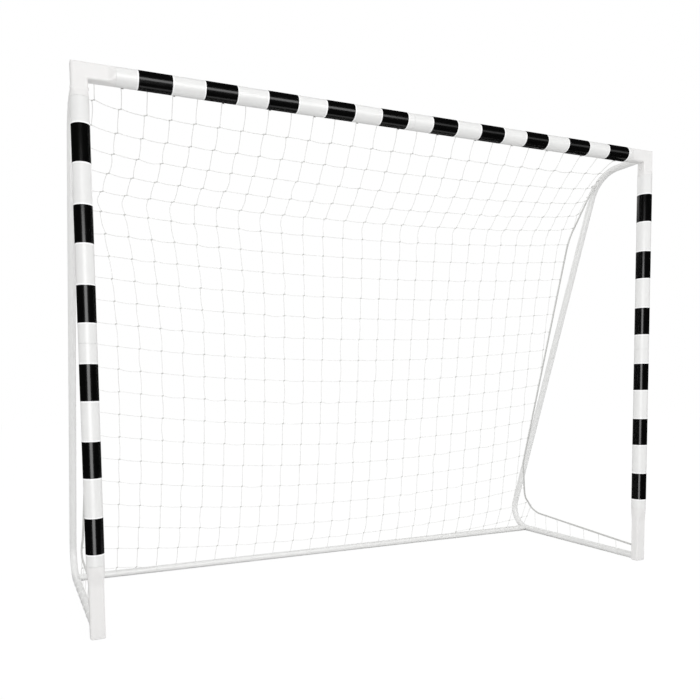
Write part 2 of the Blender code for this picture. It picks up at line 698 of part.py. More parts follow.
def side_strip(side, sign, twine):
    """The narrow net between the ground run and the straight part of the edge rope."""
    x = sign * (POST_X - SIDE_RADIUS - TWINE / 2 - CLEARANCE)
    start = FOOT_REAR + STRIP_FROM_FOOT
    end = rope_low_depth() - STRIP_TO_BEND
    height_rate = (ROPE_LOW_HEIGHT - ROPE_AT_FOOT_HEIGHT) / (rope_low_depth() - FOOT_REAR)
    low = GROUND_Z
    tallest = ROPE_LOW_HEIGHT - ROPE_RADIUS - CLEARANCE - low

    def place(share, down):
        y = start + share * (end - start)
        rope_z = ROPE_AT_FOOT_HEIGHT + (y - FOOT_REAR) * height_rate
        top = rope_z - ROPE_RADIUS - 2 * CLEARANCE
        return Vector((x, y, top - (top - low) * down / tallest))

    net_panel(f"side_net_{side}", place, STRIP_COLUMNS, STRIP_ROWS, (end - start, tallest), twine)


def centre_front_to_back():
    """Moves everything along Y, so that the origin lies under the middle of the goal's depth."""
    reach = []
    for thing in bpy.data.objects:
        if thing.type == "MESH" and not thing.hide_render:
            reach += [thing.location.y + vertex.co.y for vertex in thing.data.vertices]
    for thing in bpy.data.objects:
        thing.location.y -= (min(reach) + max(reach)) / 2


def main():
    clear_scene()
    white = finish("white_powder_coat", (0.80, 0.80, 0.80), 0.35)
    black = finish("black_band", (0.012, 0.012, 0.012), 0.30)
    twine = finish("white_twine", (0.78, 0.78, 0.78), 0.80)
    finish("zinc_steel", (0.55, 0.56, 0.58), 0.35, 1.0)
    finish("cutting", (0.9, 0.3, 0.2), 0.8)
    crossbar_tubes(white)
    rear_bar(white)
    bands(black)
    net(twine)
    for side, sign in SIDES.items():
        post_tubes(side, sign, white)
        corner_connector(side, sign, white)
        foot(side, sign, white)
        side_frame(side, sign, white)
        edge_rope(side, sign, twine)
        side_strip(side, sign, twine)
    centre_front_to_back()


main()
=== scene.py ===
"""Dresses the free-standing football goal: white banded tubes, square corners and feet, knotted net.

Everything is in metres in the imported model's frame: X runs along the crossbar, +Y goes back from the pitch
to the ground bar, +Z is up, and the origin lies on the ground under the middle of the goal.
"""

import json
import logging
import math
import random
from collections.abc import Iterable, Sequence
from dataclasses import dataclass, field
from enum import Enum

import bmesh
import bpy
from mathutils import Matrix, Vector

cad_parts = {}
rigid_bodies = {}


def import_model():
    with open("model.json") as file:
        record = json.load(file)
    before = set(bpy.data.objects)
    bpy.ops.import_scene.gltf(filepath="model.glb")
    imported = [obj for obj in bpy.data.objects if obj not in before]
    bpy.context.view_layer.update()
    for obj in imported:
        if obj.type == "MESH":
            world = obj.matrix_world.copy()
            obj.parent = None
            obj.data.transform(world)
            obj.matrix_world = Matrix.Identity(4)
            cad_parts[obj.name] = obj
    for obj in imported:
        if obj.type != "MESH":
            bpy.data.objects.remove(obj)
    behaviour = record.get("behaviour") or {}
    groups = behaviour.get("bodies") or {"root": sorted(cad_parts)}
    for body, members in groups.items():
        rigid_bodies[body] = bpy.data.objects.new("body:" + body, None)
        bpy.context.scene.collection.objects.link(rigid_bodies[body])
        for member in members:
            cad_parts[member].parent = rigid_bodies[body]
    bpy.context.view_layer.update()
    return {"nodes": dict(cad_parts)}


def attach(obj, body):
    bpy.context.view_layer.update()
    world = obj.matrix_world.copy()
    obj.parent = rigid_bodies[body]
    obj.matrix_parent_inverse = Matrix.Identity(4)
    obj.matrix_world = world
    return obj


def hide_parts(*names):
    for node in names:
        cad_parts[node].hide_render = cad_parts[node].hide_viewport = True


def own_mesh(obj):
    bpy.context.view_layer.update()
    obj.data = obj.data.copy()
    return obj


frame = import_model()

LOG = logging.getLogger("goal")
ROOT_BODY = "goal_frame"
MILLIMETRE = 0.001
ALONG_X = Vector((1.0, 0.0, 0.0))
ALONG_Y = Vector((0.0, 1.0, 0.0))
ALONG_Z = Vector((0.0, 0.0, 1.0))
UNTURNED = (0.0, 0.0, 0.0)
TWINE_SIDES = 6
# Points of a path closer than this count as one
SAME_PLACE = 1e-6
# How far in from its rounded corner a flat side has its next point
FLAT_STEP = 0.0015
# Sockets of a Mix node that mixes colours
FIRST_COLOUR = 6
SECOND_COLOUR = 7
MIXED_COLOUR = 2


class Side(Enum):
    """The goal's two sides as the player on the pitch sees them."""

    LEFT = -1
    RIGHT = 1

    @property
    def label(self) -> str:
        """The side's name as it stands in the names of pieces and nodes."""
        return self.name.lower()


class Slot(Enum):
    """The record's material slots."""

    TUBE = "white_tube"
    CONNECTOR = "white_connector"
    BAND = "black_band"
    TWINE = "twine"
    BUTTON = "button_steel"
    SPRING = "spring_steel"


@dataclass(frozen=True)
class GoalSizes:
    """The sizes that the sub-assemblies share."""

    post_y: float = -0.39526
    post_x: float = 1.1715
    bar_z: float = 1.7515
    post_radius: float = 0.0285
    post_wall: float = 0.0015
    side_radius: float = 0.014
    side_wall: float = 0.0012
    clearance: float = 0.0003
    top_run: float = 0.256
    ground_run: float = 0.845
    top_bend_radius: float = 0.150
    ground_bend_radius: float = 0.100
    side_joint_z: float = 0.920
    first_band_top: float = 1.5915
    last_band_end: float = 0.274
    post_band_length: float = 0.114
    bar_band_length: float = 0.1066
    bar_bands_from_left: float = 0.177
    bar_bands_from_right: float = 0.124
    post_bands: int = 6
    bar_bands: int = 10
    corner_width: float = 0.050
    corner_depth: float = 0.038
    corner_edge: float = 0.007
    corner_post_leg: float = 0.056
    corner_bar_leg: float = 0.084
    corner_taper: float = 0.024
    foot_width: float = 0.047
    foot_depth: float = 0.033
    foot_edge: float = 0.006
    foot_height: float = 0.165
    foot_taper: float = 0.070
    block_wall: float = 0.002
    knee_z: float = 1.453
    knee_ahead: float = 0.065
    fold_z: float = 0.150
    fold_ahead: float = 0.149
    left_net_inset: float = 0.014
    right_net_inset: float = 0.118
    rope_radius: float = 0.004
    net_to_rope: float = 0.0045
    flare_share: float = 2 / 11

    @property
    def ground_z(self) -> float:
        """Height of the ground tubes' axes."""
        return self.side_radius

    @property
    def slope(self) -> float:
        """How far the side frame goes back for each metre down."""
        return (self.ground_run - self.top_run) / (self.bar_z - self.ground_z)

    @property
    def post_band_pitch(self) -> float:
        """Distance between the tops of two bands on a post."""
        return (self.first_band_top - self.last_band_end - self.post_band_length) / (self.post_bands - 1)

    @property
    def post_joint_z(self) -> float:
        """Height of the plug joint in each post."""
        to_middle = (self.post_bands / 2 - 0.5) * self.post_band_pitch
        return self.first_band_top - to_middle - self.post_band_length / 2

    @property
    def bar_band_pitch(self) -> float:
        """Distance between the starts of two bands on the crossbar."""
        reach = 2 * self.post_x - self.bar_bands_from_left - self.bar_bands_from_right
        return (reach - self.bar_band_length) / (self.bar_bands - 1)

    def at(self, x: float, depth: float, z: float) -> Vector:
        """A point from its depth behind the posts' axes."""
        return Vector((x, self.post_y + depth, z))

    def slope_point(self, x: float, z: float) -> Vector:
        """The point of a side frame's sloping axis at a height."""
        return self.at(x, self.ground_run - (z - self.ground_z) * self.slope, z)


SIZES = GoalSizes()


# Materials
def linear(hex_colour: str) -> tuple[float, float, float, float]:
    """Turns an sRGB colour into the linear values that a shader takes.

    Args:
        hex_colour: Six hex digits, such as "F2F2F0".

    Returns:
        Linear red, green, blue and an alpha of 1.
    """
    channels = [int(hex_colour[start : start + 2], 16) / 255 for start in (0, 2, 4)]
    straight = [c / 12.92 if c <= 0.04045 else ((c + 0.055) / 1.055) ** 2.4 for c in channels]
    return (*straight, 1.0)


def add_node(
    tree: bpy.types.NodeTree,
    kind: str,
    settings: dict[str, object] | None = None,
    values: dict[object, object] | None = None,
    links: dict[object, bpy.types.NodeSocket] | None = None,
) -> bpy.types.Node:
    """Adds one node with its settings, input values and incoming links.

    Args:
        tree: The node tree that the node goes into.
        kind: The node's type name.
        settings: Attributes to set, such as operation.
        values: Default values by input name or number.
        links: Output sockets of other nodes by input name or number.

    Returns:
        The new node.
    """
    node = tree.nodes.new(kind)
    for name, value in (settings or {}).items():
        setattr(node, name, value)
    for key, value in (values or {}).items():
        node.inputs[key].default_value = value
    for key, socket in (links or {}).items():
        tree.links.new(socket, node.inputs[key])
    return node


@dataclass(frozen=True)
class Finish:
    """A surface finish: two tones that blend in soft patches, and a fine relief.

    mottle_mm is the size of the patches and grain_mm that of the relief's grain. The two details say how many
    finer layers each pattern has.
    """

    name: str
    colour: str
    shade: str
    roughness: float
    metallic: float = 0.0
    ior: float = 1.5
    specular: float = 0.5
    coat: float = 0.0
    coat_roughness: float = 0.1
    mottle_mm: float = 60.0
    mottle_detail: float = 3.0
    grain_mm: float = 1.5
    grain_detail: float = 2.0
    grain_height_mm: float = 0.01
    roughness_swing: float = 0.04

    def build(self) -> bpy.types.Material:
        """Builds the material from nodes that read Object coordinates.

        Returns:
            The material.
        """
        material = bpy.data.materials.new(self.name)
        material.use_nodes = True
        tree = material.node_tree
        shader = tree.nodes["Principled BSDF"]
        even = {"Roughness": self.roughness, "Metallic": self.metallic, "IOR": self.ior}
        even |= {"Specular IOR Level": self.specular, "Coat Weight": self.coat}
        even |= {"Coat Roughness": self.coat_roughness}
        for socket, value in even.items():
            shader.inputs[socket].default_value = value
        place = {"Vector": add_node(tree, "ShaderNodeTexCoord").outputs["Object"]}
        size = {"Scale": 1 / (self.mottle_mm * MILLIMETRE), "Detail": self.mottle_detail}
        mottle_and_painted_shade = add_node(tree, "ShaderNodeTexNoise", values=size, links=place).outputs["Fac"]
        # In the twine finishes the patches have the grain's size and detail, so both noises are the same and
        # the first colour lies in the relief's hollows as painted shade
        tones = {FIRST_COLOUR: linear(self.colour), SECOND_COLOUR: linear(self.shade)}
        colour = add_node(tree, "ShaderNodeMix", {"data_type": "RGBA"}, tones, {0: mottle_and_painted_shade})
        tree.links.new(colour.outputs[MIXED_COLOUR], shader.inputs["Base Color"])
        if self.roughness_swing:
            smoothest, roughest = self.roughness - self.roughness_swing, self.roughness + self.roughness_swing
            limits = {"To Min": smoothest, "To Max": roughest}
            rough = add_node(tree, "ShaderNodeMapRange", values=limits, links={"Value": mottle_and_painted_shade})
            tree.links.new(rough.outputs["Result"], shader.inputs["Roughness"])
        size = {"Scale": 1 / (self.grain_mm * MILLIMETRE), "Detail": self.grain_detail}
        grain = add_node(tree, "ShaderNodeTexNoise", values=size, links=place).outputs["Fac"]
        height = {"Strength": 1.0, "Distance": self.grain_height_mm * MILLIMETRE}
        relief = add_node(tree, "ShaderNodeBump", values=height, links={"Height": grain})
        tree.links.new(relief.outputs["Normal"], shader.inputs["Normal"])
        return material


@dataclass(frozen=True)
class TwineFinish(Finish):
    """Laid or braided polyethylene: matt, with painted shade in the hollows between its strands."""

    specular: float = 0.3
    mottle_detail: float = 1.0
    grain_detail: float = 1.0
    roughness_swing: float = 0.0


class Finishes:
    """Every material of the goal, built once."""

    def __init__(self) -> None:
        """Builds the materials."""
        # Steel tube with a gloss white polyester powder coat: bright, faintly pebbled like orange peel
        self.tube = Finish(
            "powder_coat_gloss_white", "ECECEB", "E6E6E5", 0.38, coat=0.35, coat_roughness=0.4
        ).build()
        # The same coat on the square connectors, which the photo shows a little warmer and duller
        self.connector = Finish("powder_coat_satin_white", "EBEAE9", "E5E4E3", 0.42).build()
        # Black PVC foil wrapped round the tube: deep black, with one clear streak of each lamp
        self.band = Finish(
            "pvc_foil_gloss_black", "030303", "060606", 0.20, mottle_mm=40.0, grain_height_mm=0.004
        ).build()
        # The foil's clear margin, which shows as a bright line at each end of a band
        self.margin = Finish("foil_margin_white", "FFFFFF", "FAFAFA", 0.25).build()
        # Twisted polyethylene twine, off-white: matt, its darker tone painted as shade in the hollows between
        # its strands
        self.twine = TwineFinish(
            "polyethylene_twine", "E4E4E2", "F2F2F1", 0.75, mottle_mm=2.0, grain_mm=2.0, grain_height_mm=0.15
        ).build()
        # Braided polyethylene rope: the same plastic, painted greyer than the twine as shade between its
        # strands, and darkest in the relief's hollows
        self.rope = TwineFinish(
            "braided_edge_rope", "B0B0AE", "D4D4D2", 0.75, mottle_mm=2.5, grain_mm=2.5, grain_height_mm=0.25
        ).build()
        # The same twine drawn tight in knots, painted darker than the strands as shade in their creases
        self.knot = TwineFinish(
            "polyethylene_knots", "BCBCBA", "DCDCDA", 0.80, mottle_mm=1.5, grain_mm=1.5, grain_height_mm=0.30
        ).build()
        # Zinc-plated and spring steel: grey, with soft broken highlights
        self.zinc = Finish("zinc_plated_steel", "9A9B9D", "808285", 0.34, metallic=1.0, mottle_mm=8.0).build()
        self.spring = Finish(
            "bright_spring_steel", "A6A7A9", "8E9093", 0.28, metallic=1.0, mottle_mm=12.0
        ).build()
        # Grey nylon of the small net clips
        self.clip = Finish("nylon_clip_grey", "B4B2B2", "A8A6A6", 0.50).build()


# Meshes
def tidy_mesh(name: str, work: bmesh.types.BMesh, sharp_degrees: float = 35.0) -> bpy.types.Mesh:
    """Turns bmesh work into a smooth-shaded mesh whose faces point outwards.

    Args:
        name: The new mesh's name.
        work: The work, which is freed.
        sharp_degrees: Edges that turn more than this stay crisp.

    Returns:
        The mesh.
    """
    bmesh.ops.recalc_face_normals(work, faces=work.faces)
    mesh = bpy.data.meshes.new(name)
    work.to_mesh(mesh)
    work.free()
    mesh.shade_smooth()
    mesh.set_sharp_from_angle(angle=math.radians(sharp_degrees))
    return mesh


def place_piece(
    name: str,
    mesh: bpy.types.Mesh,
    material: bpy.types.Material,
    body: str = ROOT_BODY,
    stands_for: Iterable[str] = (),
) -> bpy.types.Object:
    """Links a finished piece, dresses it and ties it to its body.

    Args:
        name: The piece's name.
        mesh: Its mesh, in the model's frame.
        material: Its finish.
        body: The body that it rides on.
        stands_for: The model's nodes that it replaces.

    Returns:
        The piece.
    """
    piece = bpy.data.objects.new(name, mesh)
    if not mesh.materials:
        mesh.materials.append(material)
    bpy.context.scene.collection.objects.link(piece)
    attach(piece, body)
    nodes = list(stands_for)
    if nodes:
        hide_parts(*nodes)
    LOG.info("%s: %d faces, on %s", name, len(mesh.polygons), body)
    return piece


Section = list[tuple[float, float]]
Station = tuple[Vector, Section]


def round_section(radius: float, sides: int) -> Section:
    """Points of a circle, as (across, up) pairs."""
    turns = [(step + 0.5) * math.tau / sides for step in range(sides)]
    return [(radius * math.cos(turn), radius * math.sin(turn)) for turn in turns]


def flat_sided_section(depth: float, width: float, edge: float, sides: int) -> Section:
    """Points of a rectangle with rounded corners, in step with round_section.

    Each quarter has a point on the flat close to either end of its arc, so that the flats shade flat.

    Args:
        depth: The rectangle's size along the sweep's normal.
        width: Its size square to that.
        edge: Radius of its corners.
        sides: How many points, a multiple of four.

    Returns:
        The points as (across, up) pairs.
    """
    arc = sides // 4 - 2
    points: Section = []
    for corner in range(4):
        middle = (corner + 0.5) * math.pi / 2
        centre_a = math.copysign(depth / 2 - edge, math.cos(middle))
        centre_b = math.copysign(width / 2 - edge, math.sin(middle))
        start, turn = corner * math.pi / 2, math.pi / 2
        end = start + turn
        angles = [start + turn * step / (arc - 1) for step in range(arc)]
        ring = [(centre_a + edge * math.cos(angle), centre_b + edge * math.sin(angle)) for angle in angles]
        first = (ring[0][0] + FLAT_STEP * math.sin(start), ring[0][1] - FLAT_STEP * math.cos(start))
        last = (ring[-1][0] - FLAT_STEP * math.sin(end), ring[-1][1] + FLAT_STEP * math.cos(end))
        points += [first, *ring, last]
    return points


def blend_sections(first: Section, second: Section, share: float) -> Section:
    """A section part of the way from one to another of as many points."""
    return [(a[0] + (b[0] - a[0]) * share, a[1] + (b[1] - a[1]) * share) for a, b in zip(first, second)]


def path_directions(points: Sequence[Vector]) -> list[tuple[Vector, Vector]]:
    """The way in and the way out at each point of a path.

    Args:
        points: The path, some of whose points may coincide.

    Returns:
        Two unit vectors for each point, the same one twice at the path's ends.
    """
    found = []
    for index, point in enumerate(points):
        ways_in = (point - other for other in points[index::-1])
        ways_out = (other - point for other in points[index:])
        before = next((way for way in ways_in if way.length > SAME_PLACE), None)
        after = next((way for way in ways_out if way.length > SAME_PLACE), None)
        found.append(((before or after).normalized(), (after or before).normalized()))
    return found


def sweep_rings(
    work: bmesh.types.BMesh, stations: Sequence[Station], normal: Vector
) -> list[list[bmesh.types.BMVert]]:
    """Adds one ring of vertices per station of a flat path, mitred where the path turns.

    Args:
        work: The work that the vertices go into.
        stations: Points of the path with their cross-sections.
        normal: The normal of the plane that the path lies in.

    Returns:
        The rings.
    """
    rings = []
    for (point, section), (way_in, way_out) in zip(stations, path_directions([s[0] for s in stations])):
        up_in, up_out = normal.cross(way_in), normal.cross(way_out)
        up = (up_in + up_out) / (1 + up_in.dot(up_out))
        rings.append([work.verts.new(point + normal * a + up * b) for a, b in section])
    return rings


def bridge(work: bmesh.types.BMesh, first: Sequence, second: Sequence) -> None:
    """Joins two rings of as many vertices by quads.

    Args:
        work: The work that holds them.
        first: One ring.
        second: The other ring.
    """
    count = len(first)
    for step in range(count):
        work.faces.new((first[step], first[(step + 1) % count], second[(step + 1) % count], second[step]))


def tube_mesh(
    name: str, outer: Sequence[Station], inner: Sequence[Station], normal: Vector, capped: bool = False
) -> bpy.types.Mesh:
    """A hollow sweep with a wall between its outer and inner stations.

    Args:
        name: The mesh's name.
        outer: Stations of its outside.
        inner: Stations of its inside.
        normal: The normal of the plane that its path lies in.
        capped: Whether its start is closed by a floor instead of open.

    Returns:
        The mesh.
    """
    work = bmesh.new()
    loop = sweep_rings(work, outer, normal) + sweep_rings(work, inner, normal)[::-1]
    for first, second in zip(loop, loop[1:]):
        bridge(work, first, second)
    if capped:
        work.faces.new(loop[0])
        work.faces.new(loop[-1])
    else:
        bridge(work, loop[-1], loop[0])
    return tidy_mesh(name, work)


def solid_mesh(name: str, stations: Sequence[Station], normal: Vector) -> bpy.types.Mesh:
    """A sweep closed by a face at either end.

    Args:
        name: The mesh's name.
        stations: Its stations.
        normal: The normal of the plane that its path lies in.

    Returns:
        The mesh.
    """
    work = bmesh.new()
    rings = sweep_rings(work, stations, normal)
    for first, second in zip(rings, rings[1:]):
        bridge(work, first, second)
    work.faces.new(rings[0])
    work.faces.new(rings[-1])
    return tidy_mesh(name, work)


def round_tube_mesh(
    name: str,
    path: Sequence[Vector],
    radius: float,
    wall: float,
    normal: Vector,
    sides: int,
    lip: float = 0.0004,
) -> bpy.types.Mesh:
    """A round tube along a path, with its end edges broken by a small lip.

    Args:
        name: The mesh's name.
        path: The tube's axis.
        radius: Its outer radius.
        wall: Its wall thickness.
        normal: The normal of the plane that its path lies in.
        sides: How many flats its round has.
        lip: Size of the broken edge.

    Returns:
        The mesh.
    """
    start, end = (path[1] - path[0]).normalized(), (path[-1] - path[-2]).normalized()
    full, broken = round_section(radius, sides), round_section(radius - lip, sides)
    outer = [(path[0], broken), (path[0] + start * lip, full)]
    outer += [(point, full) for point in path[1:-1]]
    outer += [(path[-1] - end * lip, full), (path[-1], broken)]
    inner = [(point, round_section(radius - wall, sides)) for point in path]
    return tube_mesh(name, outer, inner, normal)


def joined_mesh(name: str, parts: Sequence[bpy.types.Mesh]) -> bpy.types.Mesh:
    """Makes one mesh of several.

    Args:
        name: The new mesh's name.
        parts: The meshes to join, which are removed.

    Returns:
        The new mesh.
    """
    work = bmesh.new()
    for part in parts:
        work.from_mesh(part)
    mesh = bpy.data.meshes.new(name)
    work.to_mesh(mesh)
    work.free()
    for part in parts:
        bpy.data.meshes.remove(part)
    mesh.name = name
    return mesh


def fillet(before: Vector, corner: Vector, after: Vector, radius: float, steps: int) -> list[Vector]:
    """Rounds a corner of a flat path.

    Args:
        before: A point of the path before the corner.
        corner: The corner.
        after: A point of the path after it.
        radius: The arc's radius.
        steps: How many straight pieces the arc has.

    Returns:
        The arc's points in the path's order.
    """
    back, onward = (before - corner).normalized(), (after - corner).normalized()
    half = back.angle(onward) / 2
    start = corner + back * (radius / math.tan(half))
    centre = corner + (back + onward).normalized() * (radius / math.sin(half))
    axis = back.cross(onward).normalized()
    turn = -(math.pi - 2 * half)
    arm = start - centre
    return [centre + Matrix.Rotation(turn * step / steps, 3, axis) @ arm for step in range(steps + 1)]


def side_axis(x: float, steps: int = 20) -> tuple[list[Vector], list[Vector]]:
    """The side frame's axis above and below its plug joint.

    Args:
        x: The side frame's place along the crossbar.
        steps: Straight pieces in each bend.

    Returns:
        The upper half from the corner down, and the lower half from the joint to the foot.
    """
    start = SIZES.at(x, SIZES.corner_depth / 2 + SIZES.clearance, SIZES.bar_z)
    end = SIZES.at(x, SIZES.foot_depth / 2 + SIZES.clearance, SIZES.ground_z)
    top, low = SIZES.slope_point(x, SIZES.bar_z), SIZES.slope_point(x, SIZES.ground_z)
    joint = SIZES.slope_point(x, SIZES.side_joint_z)
    upper = [start] + fillet(start, top, low, SIZES.top_bend_radius, steps) + [joint]
    lower = [joint] + fillet(top, low, end, SIZES.ground_bend_radius, steps) + [end]
    return upper, lower


def rear_depth() -> float:
    """How far the ground bar's axis lies behind the posts."""
    return side_axis(0.0)[1][-2].y - SIZES.post_y + SIZES.side_radius


def bent(start: Vector, corner: Vector, end: Vector, share: float) -> Vector:
    """The point at a share of the way along a curve that rounds a corner."""
    return start * (1 - share) ** 2 + corner * 2 * share * (1 - share) + end * share**2


# Geometry Nodes
class NodeTool:
    """A Geometry Nodes tree with named inputs, run once on a carrier mesh."""

    def __init__(self, name: str) -> None:
        """Starts an empty tree with a geometry input and output.

        Args:
            name: The tree's name.
        """
        self.tree = bpy.data.node_groups.new(name, "GeometryNodeTree")
        self.tree.interface.new_socket("Geometry", in_out="INPUT", socket_type="NodeSocketGeometry")
        self.tree.interface.new_socket("Geometry", in_out="OUTPUT", socket_type="NodeSocketGeometry")
        self.source = self.tree.nodes.new("NodeGroupInput")
        self.sink = self.tree.nodes.new("NodeGroupOutput")

    def add_input(self, name: str, socket_type: str) -> bpy.types.NodeSocket:
        """Adds a named input and returns its socket in the tree."""
        self.tree.interface.new_socket(name, in_out="INPUT", socket_type=socket_type)
        return self.source.outputs[name]

    def add(self, kind: str, **parts: dict[object, object]) -> bpy.types.Node:
        """Adds one node to the tree."""
        return add_node(self.tree, kind, **parts)

    def close(self, geometry: bpy.types.NodeSocket, material: bpy.types.NodeSocket) -> None:
        """Ends the tree in Realize Instances and Set Material.

        Args:
            geometry: What the tree has made.
            material: The finish that it gets.
        """
        real = self.add("GeometryNodeRealizeInstances", links={"Geometry": geometry})
        dressed = self.add(
            "GeometryNodeSetMaterial", links={"Geometry": real.outputs["Geometry"], "Material": material}
        )
        self.tree.links.new(dressed.outputs["Geometry"], self.sink.inputs["Geometry"])

    def run(self, name: str, carrier: bpy.types.Mesh, values: dict[str, object]) -> bpy.types.Mesh:
        """Runs the tree on a carrier mesh.

        Args:
            name: The name of the mesh that comes out.
            carrier: The mesh whose points or edges the tree reads.
            values: The tree's inputs by name.

        Returns:
            A plain mesh with its materials.
        """
        holder = bpy.data.objects.new(f"{name}_carrier", carrier)
        bpy.context.scene.collection.objects.link(holder)
        modifier = holder.modifiers.new("tool", "NODES")
        modifier.node_group = self.tree
        for item in self.tree.interface.items_tree:
            if item.item_type == "SOCKET" and item.in_out == "INPUT" and item.name in values:
                modifier[item.identifier] = values[item.name]
        bpy.context.view_layer.update()
        depsgraph = bpy.context.evaluated_depsgraph_get()
        made = bpy.data.meshes.new_from_object(holder.evaluated_get(depsgraph), depsgraph=depsgraph)
        made.name = name
        holder.modifiers.remove(modifier)
        bpy.data.objects.remove(holder, do_unlink=True)
        return made


def points_mesh(name: str, points: Iterable[Vector]) -> bpy.types.Mesh:
    """A carrier mesh of loose points.

    Args:
        name: The mesh's name.
        points: The points.

    Returns:
        The mesh.
    """
    mesh = bpy.data.meshes.new(name)
    mesh.from_pydata([tuple(point) for point in points], [], [])
    return mesh


def repeat_tool() -> NodeTool:
    """Makes the tree that sets a copy of one shape at each of the carrier's points.

    Returns:
        The tree, with the inputs Shape, Turn and Material.
    """
    tool = NodeTool("repeat_at_points")
    shape = tool.add_input("Shape", "NodeSocketObject")
    turn = tool.add_input("Turn", "NodeSocketRotation")
    material = tool.add_input("Material", "NodeSocketMaterial")
    info = tool.add("GeometryNodeObjectInfo", links={"Object": shape})
    copies = tool.add(
        "GeometryNodeInstanceOnPoints",
        links={
            "Points": tool.source.outputs["Geometry"],
            "Instance": info.outputs["Geometry"],
            "Rotation": turn,
        },
    )
    tool.close(copies.outputs["Instances"], material)
    return tool


def twine_tool() -> NodeTool:
    """Makes the tree that turns every edge line of the carrier into a round strand.

    Returns:
        The tree, with the inputs Radius, Sides and Material.
    """
    tool = NodeTool("strands_along_edges")
    radius = tool.add_input("Radius", "NodeSocketFloat")
    sides = tool.add_input("Sides", "NodeSocketInt")
    material = tool.add_input("Material", "NodeSocketMaterial")
    line = tool.add("GeometryNodeMeshToCurve", links={"Mesh": tool.source.outputs["Geometry"]})
    ring = tool.add("GeometryNodeCurvePrimitiveCircle", links={"Radius": radius, "Resolution": sides})
    strand = tool.add(
        "GeometryNodeCurveToMesh",
        values={"Fill Caps": True},
        links={"Curve": line.outputs["Curve"], "Profile Curve": ring.outputs["Curve"]},
    )
    smooth = tool.add("GeometryNodeSetShadeSmooth", links={"Geometry": strand.outputs["Mesh"]})
    tool.close(smooth.outputs["Geometry"], material)
    return tool


def place_copies(
    name: str,
    shape: bpy.types.Mesh,
    points: Iterable[Vector],
    turn: tuple[float, float, float],
    material: bpy.types.Material,
    stands_for: Iterable[str] = (),
) -> None:
    """Sets a copy of one shape at each point and places them all as one piece.

    Args:
        name: The piece's name.
        shape: The shape, made round the origin.
        points: Where the copies go.
        turn: Each copy's turn about X, Y and Z.
        material: The piece's finish.
        stands_for: The model's nodes that it replaces.
    """
    holder = bpy.data.objects.new(f"{name}_shape", shape)
    bpy.context.scene.collection.objects.link(holder)
    values = {"Shape": holder, "Turn": turn, "Material": material}
    mesh = repeat_tool().run(name, points_mesh(f"{name}_points", points), values)
    place_piece(name, mesh, material, stands_for=stands_for)
    bpy.data.objects.remove(holder, do_unlink=True)


def place_cords(
    name: str,
    lines: Sequence[Sequence[Vector]],
    radius: float,
    material: bpy.types.Material,
    sides: int = TWINE_SIDES,
    ring: bool = False,
    stands_for: Iterable[str] = (),
) -> None:
    """Makes a round cord along each line of points and places them all as one piece.

    Args:
        name: The piece's name.
        lines: The cords' axes.
        radius: The cords' radius.
        material: The piece's finish.
        sides: How many flats a cord's round has.
        ring: Whether each cord ends where it starts.
        stands_for: The model's nodes that it replaces.
    """
    edges: list[tuple[int, int]] = []
    first = 0
    for line in lines:
        last = first + len(line) - 1
        edges += [(i, i + 1) for i in range(first, last)]
        if ring:
            edges.append((last, first))
        first = last + 1
    carrier = bpy.data.meshes.new(f"{name}_lines")
    carrier.from_pydata([tuple(point) for line in lines for point in line], edges, [])
    values = {"Radius": radius, "Sides": sides, "Material": material}
    mesh = twine_tool().run(name, carrier, values)
    place_piece(name, mesh, material, stands_for=stands_for)


# Sub-assemblies
@dataclass
class PostTubes:
    """The posts and the crossbar, each of two tubes that plug together."""

    finishes: Finishes
    sides: int = 48

    def build(self) -> None:
        """Builds the six tubes."""
        s = SIZES
        bar_reach = s.post_x - s.corner_bar_leg - s.corner_taper - s.clearance
        for side in Side:
            x = side.value * s.post_x
            foot_top = s.at(x, 0, s.foot_height + s.foot_taper + s.clearance)
            joint = s.at(x, 0, s.post_joint_z)
            above = joint + ALONG_Z * s.clearance
            leg_end = s.at(x, 0, s.bar_z - s.corner_post_leg - s.corner_taper - s.clearance)
            self.one(f"{side.label}_post_lower_tube", [foot_top, joint], f"post_{side.label}_lower")
            self.one(f"{side.label}_post_upper_tube", [above, leg_end], f"post_{side.label}_upper")
            end = s.at(side.value * bar_reach, 0, s.bar_z)
            middle = s.at(side.value * s.clearance / 2, 0, s.bar_z)
            self.one(f"{side.label}_crossbar_tube", [middle, end], f"crossbar_{side.label}")

    def one(self, name: str, path: Sequence[Vector], node: str) -> None:
        """Builds one tube in place of its node."""
        mesh = round_tube_mesh(name, path, SIZES.post_radius, SIZES.post_wall, ALONG_Y, self.sides)
        place_piece(name, mesh, self.finishes.tube, stands_for=[node])


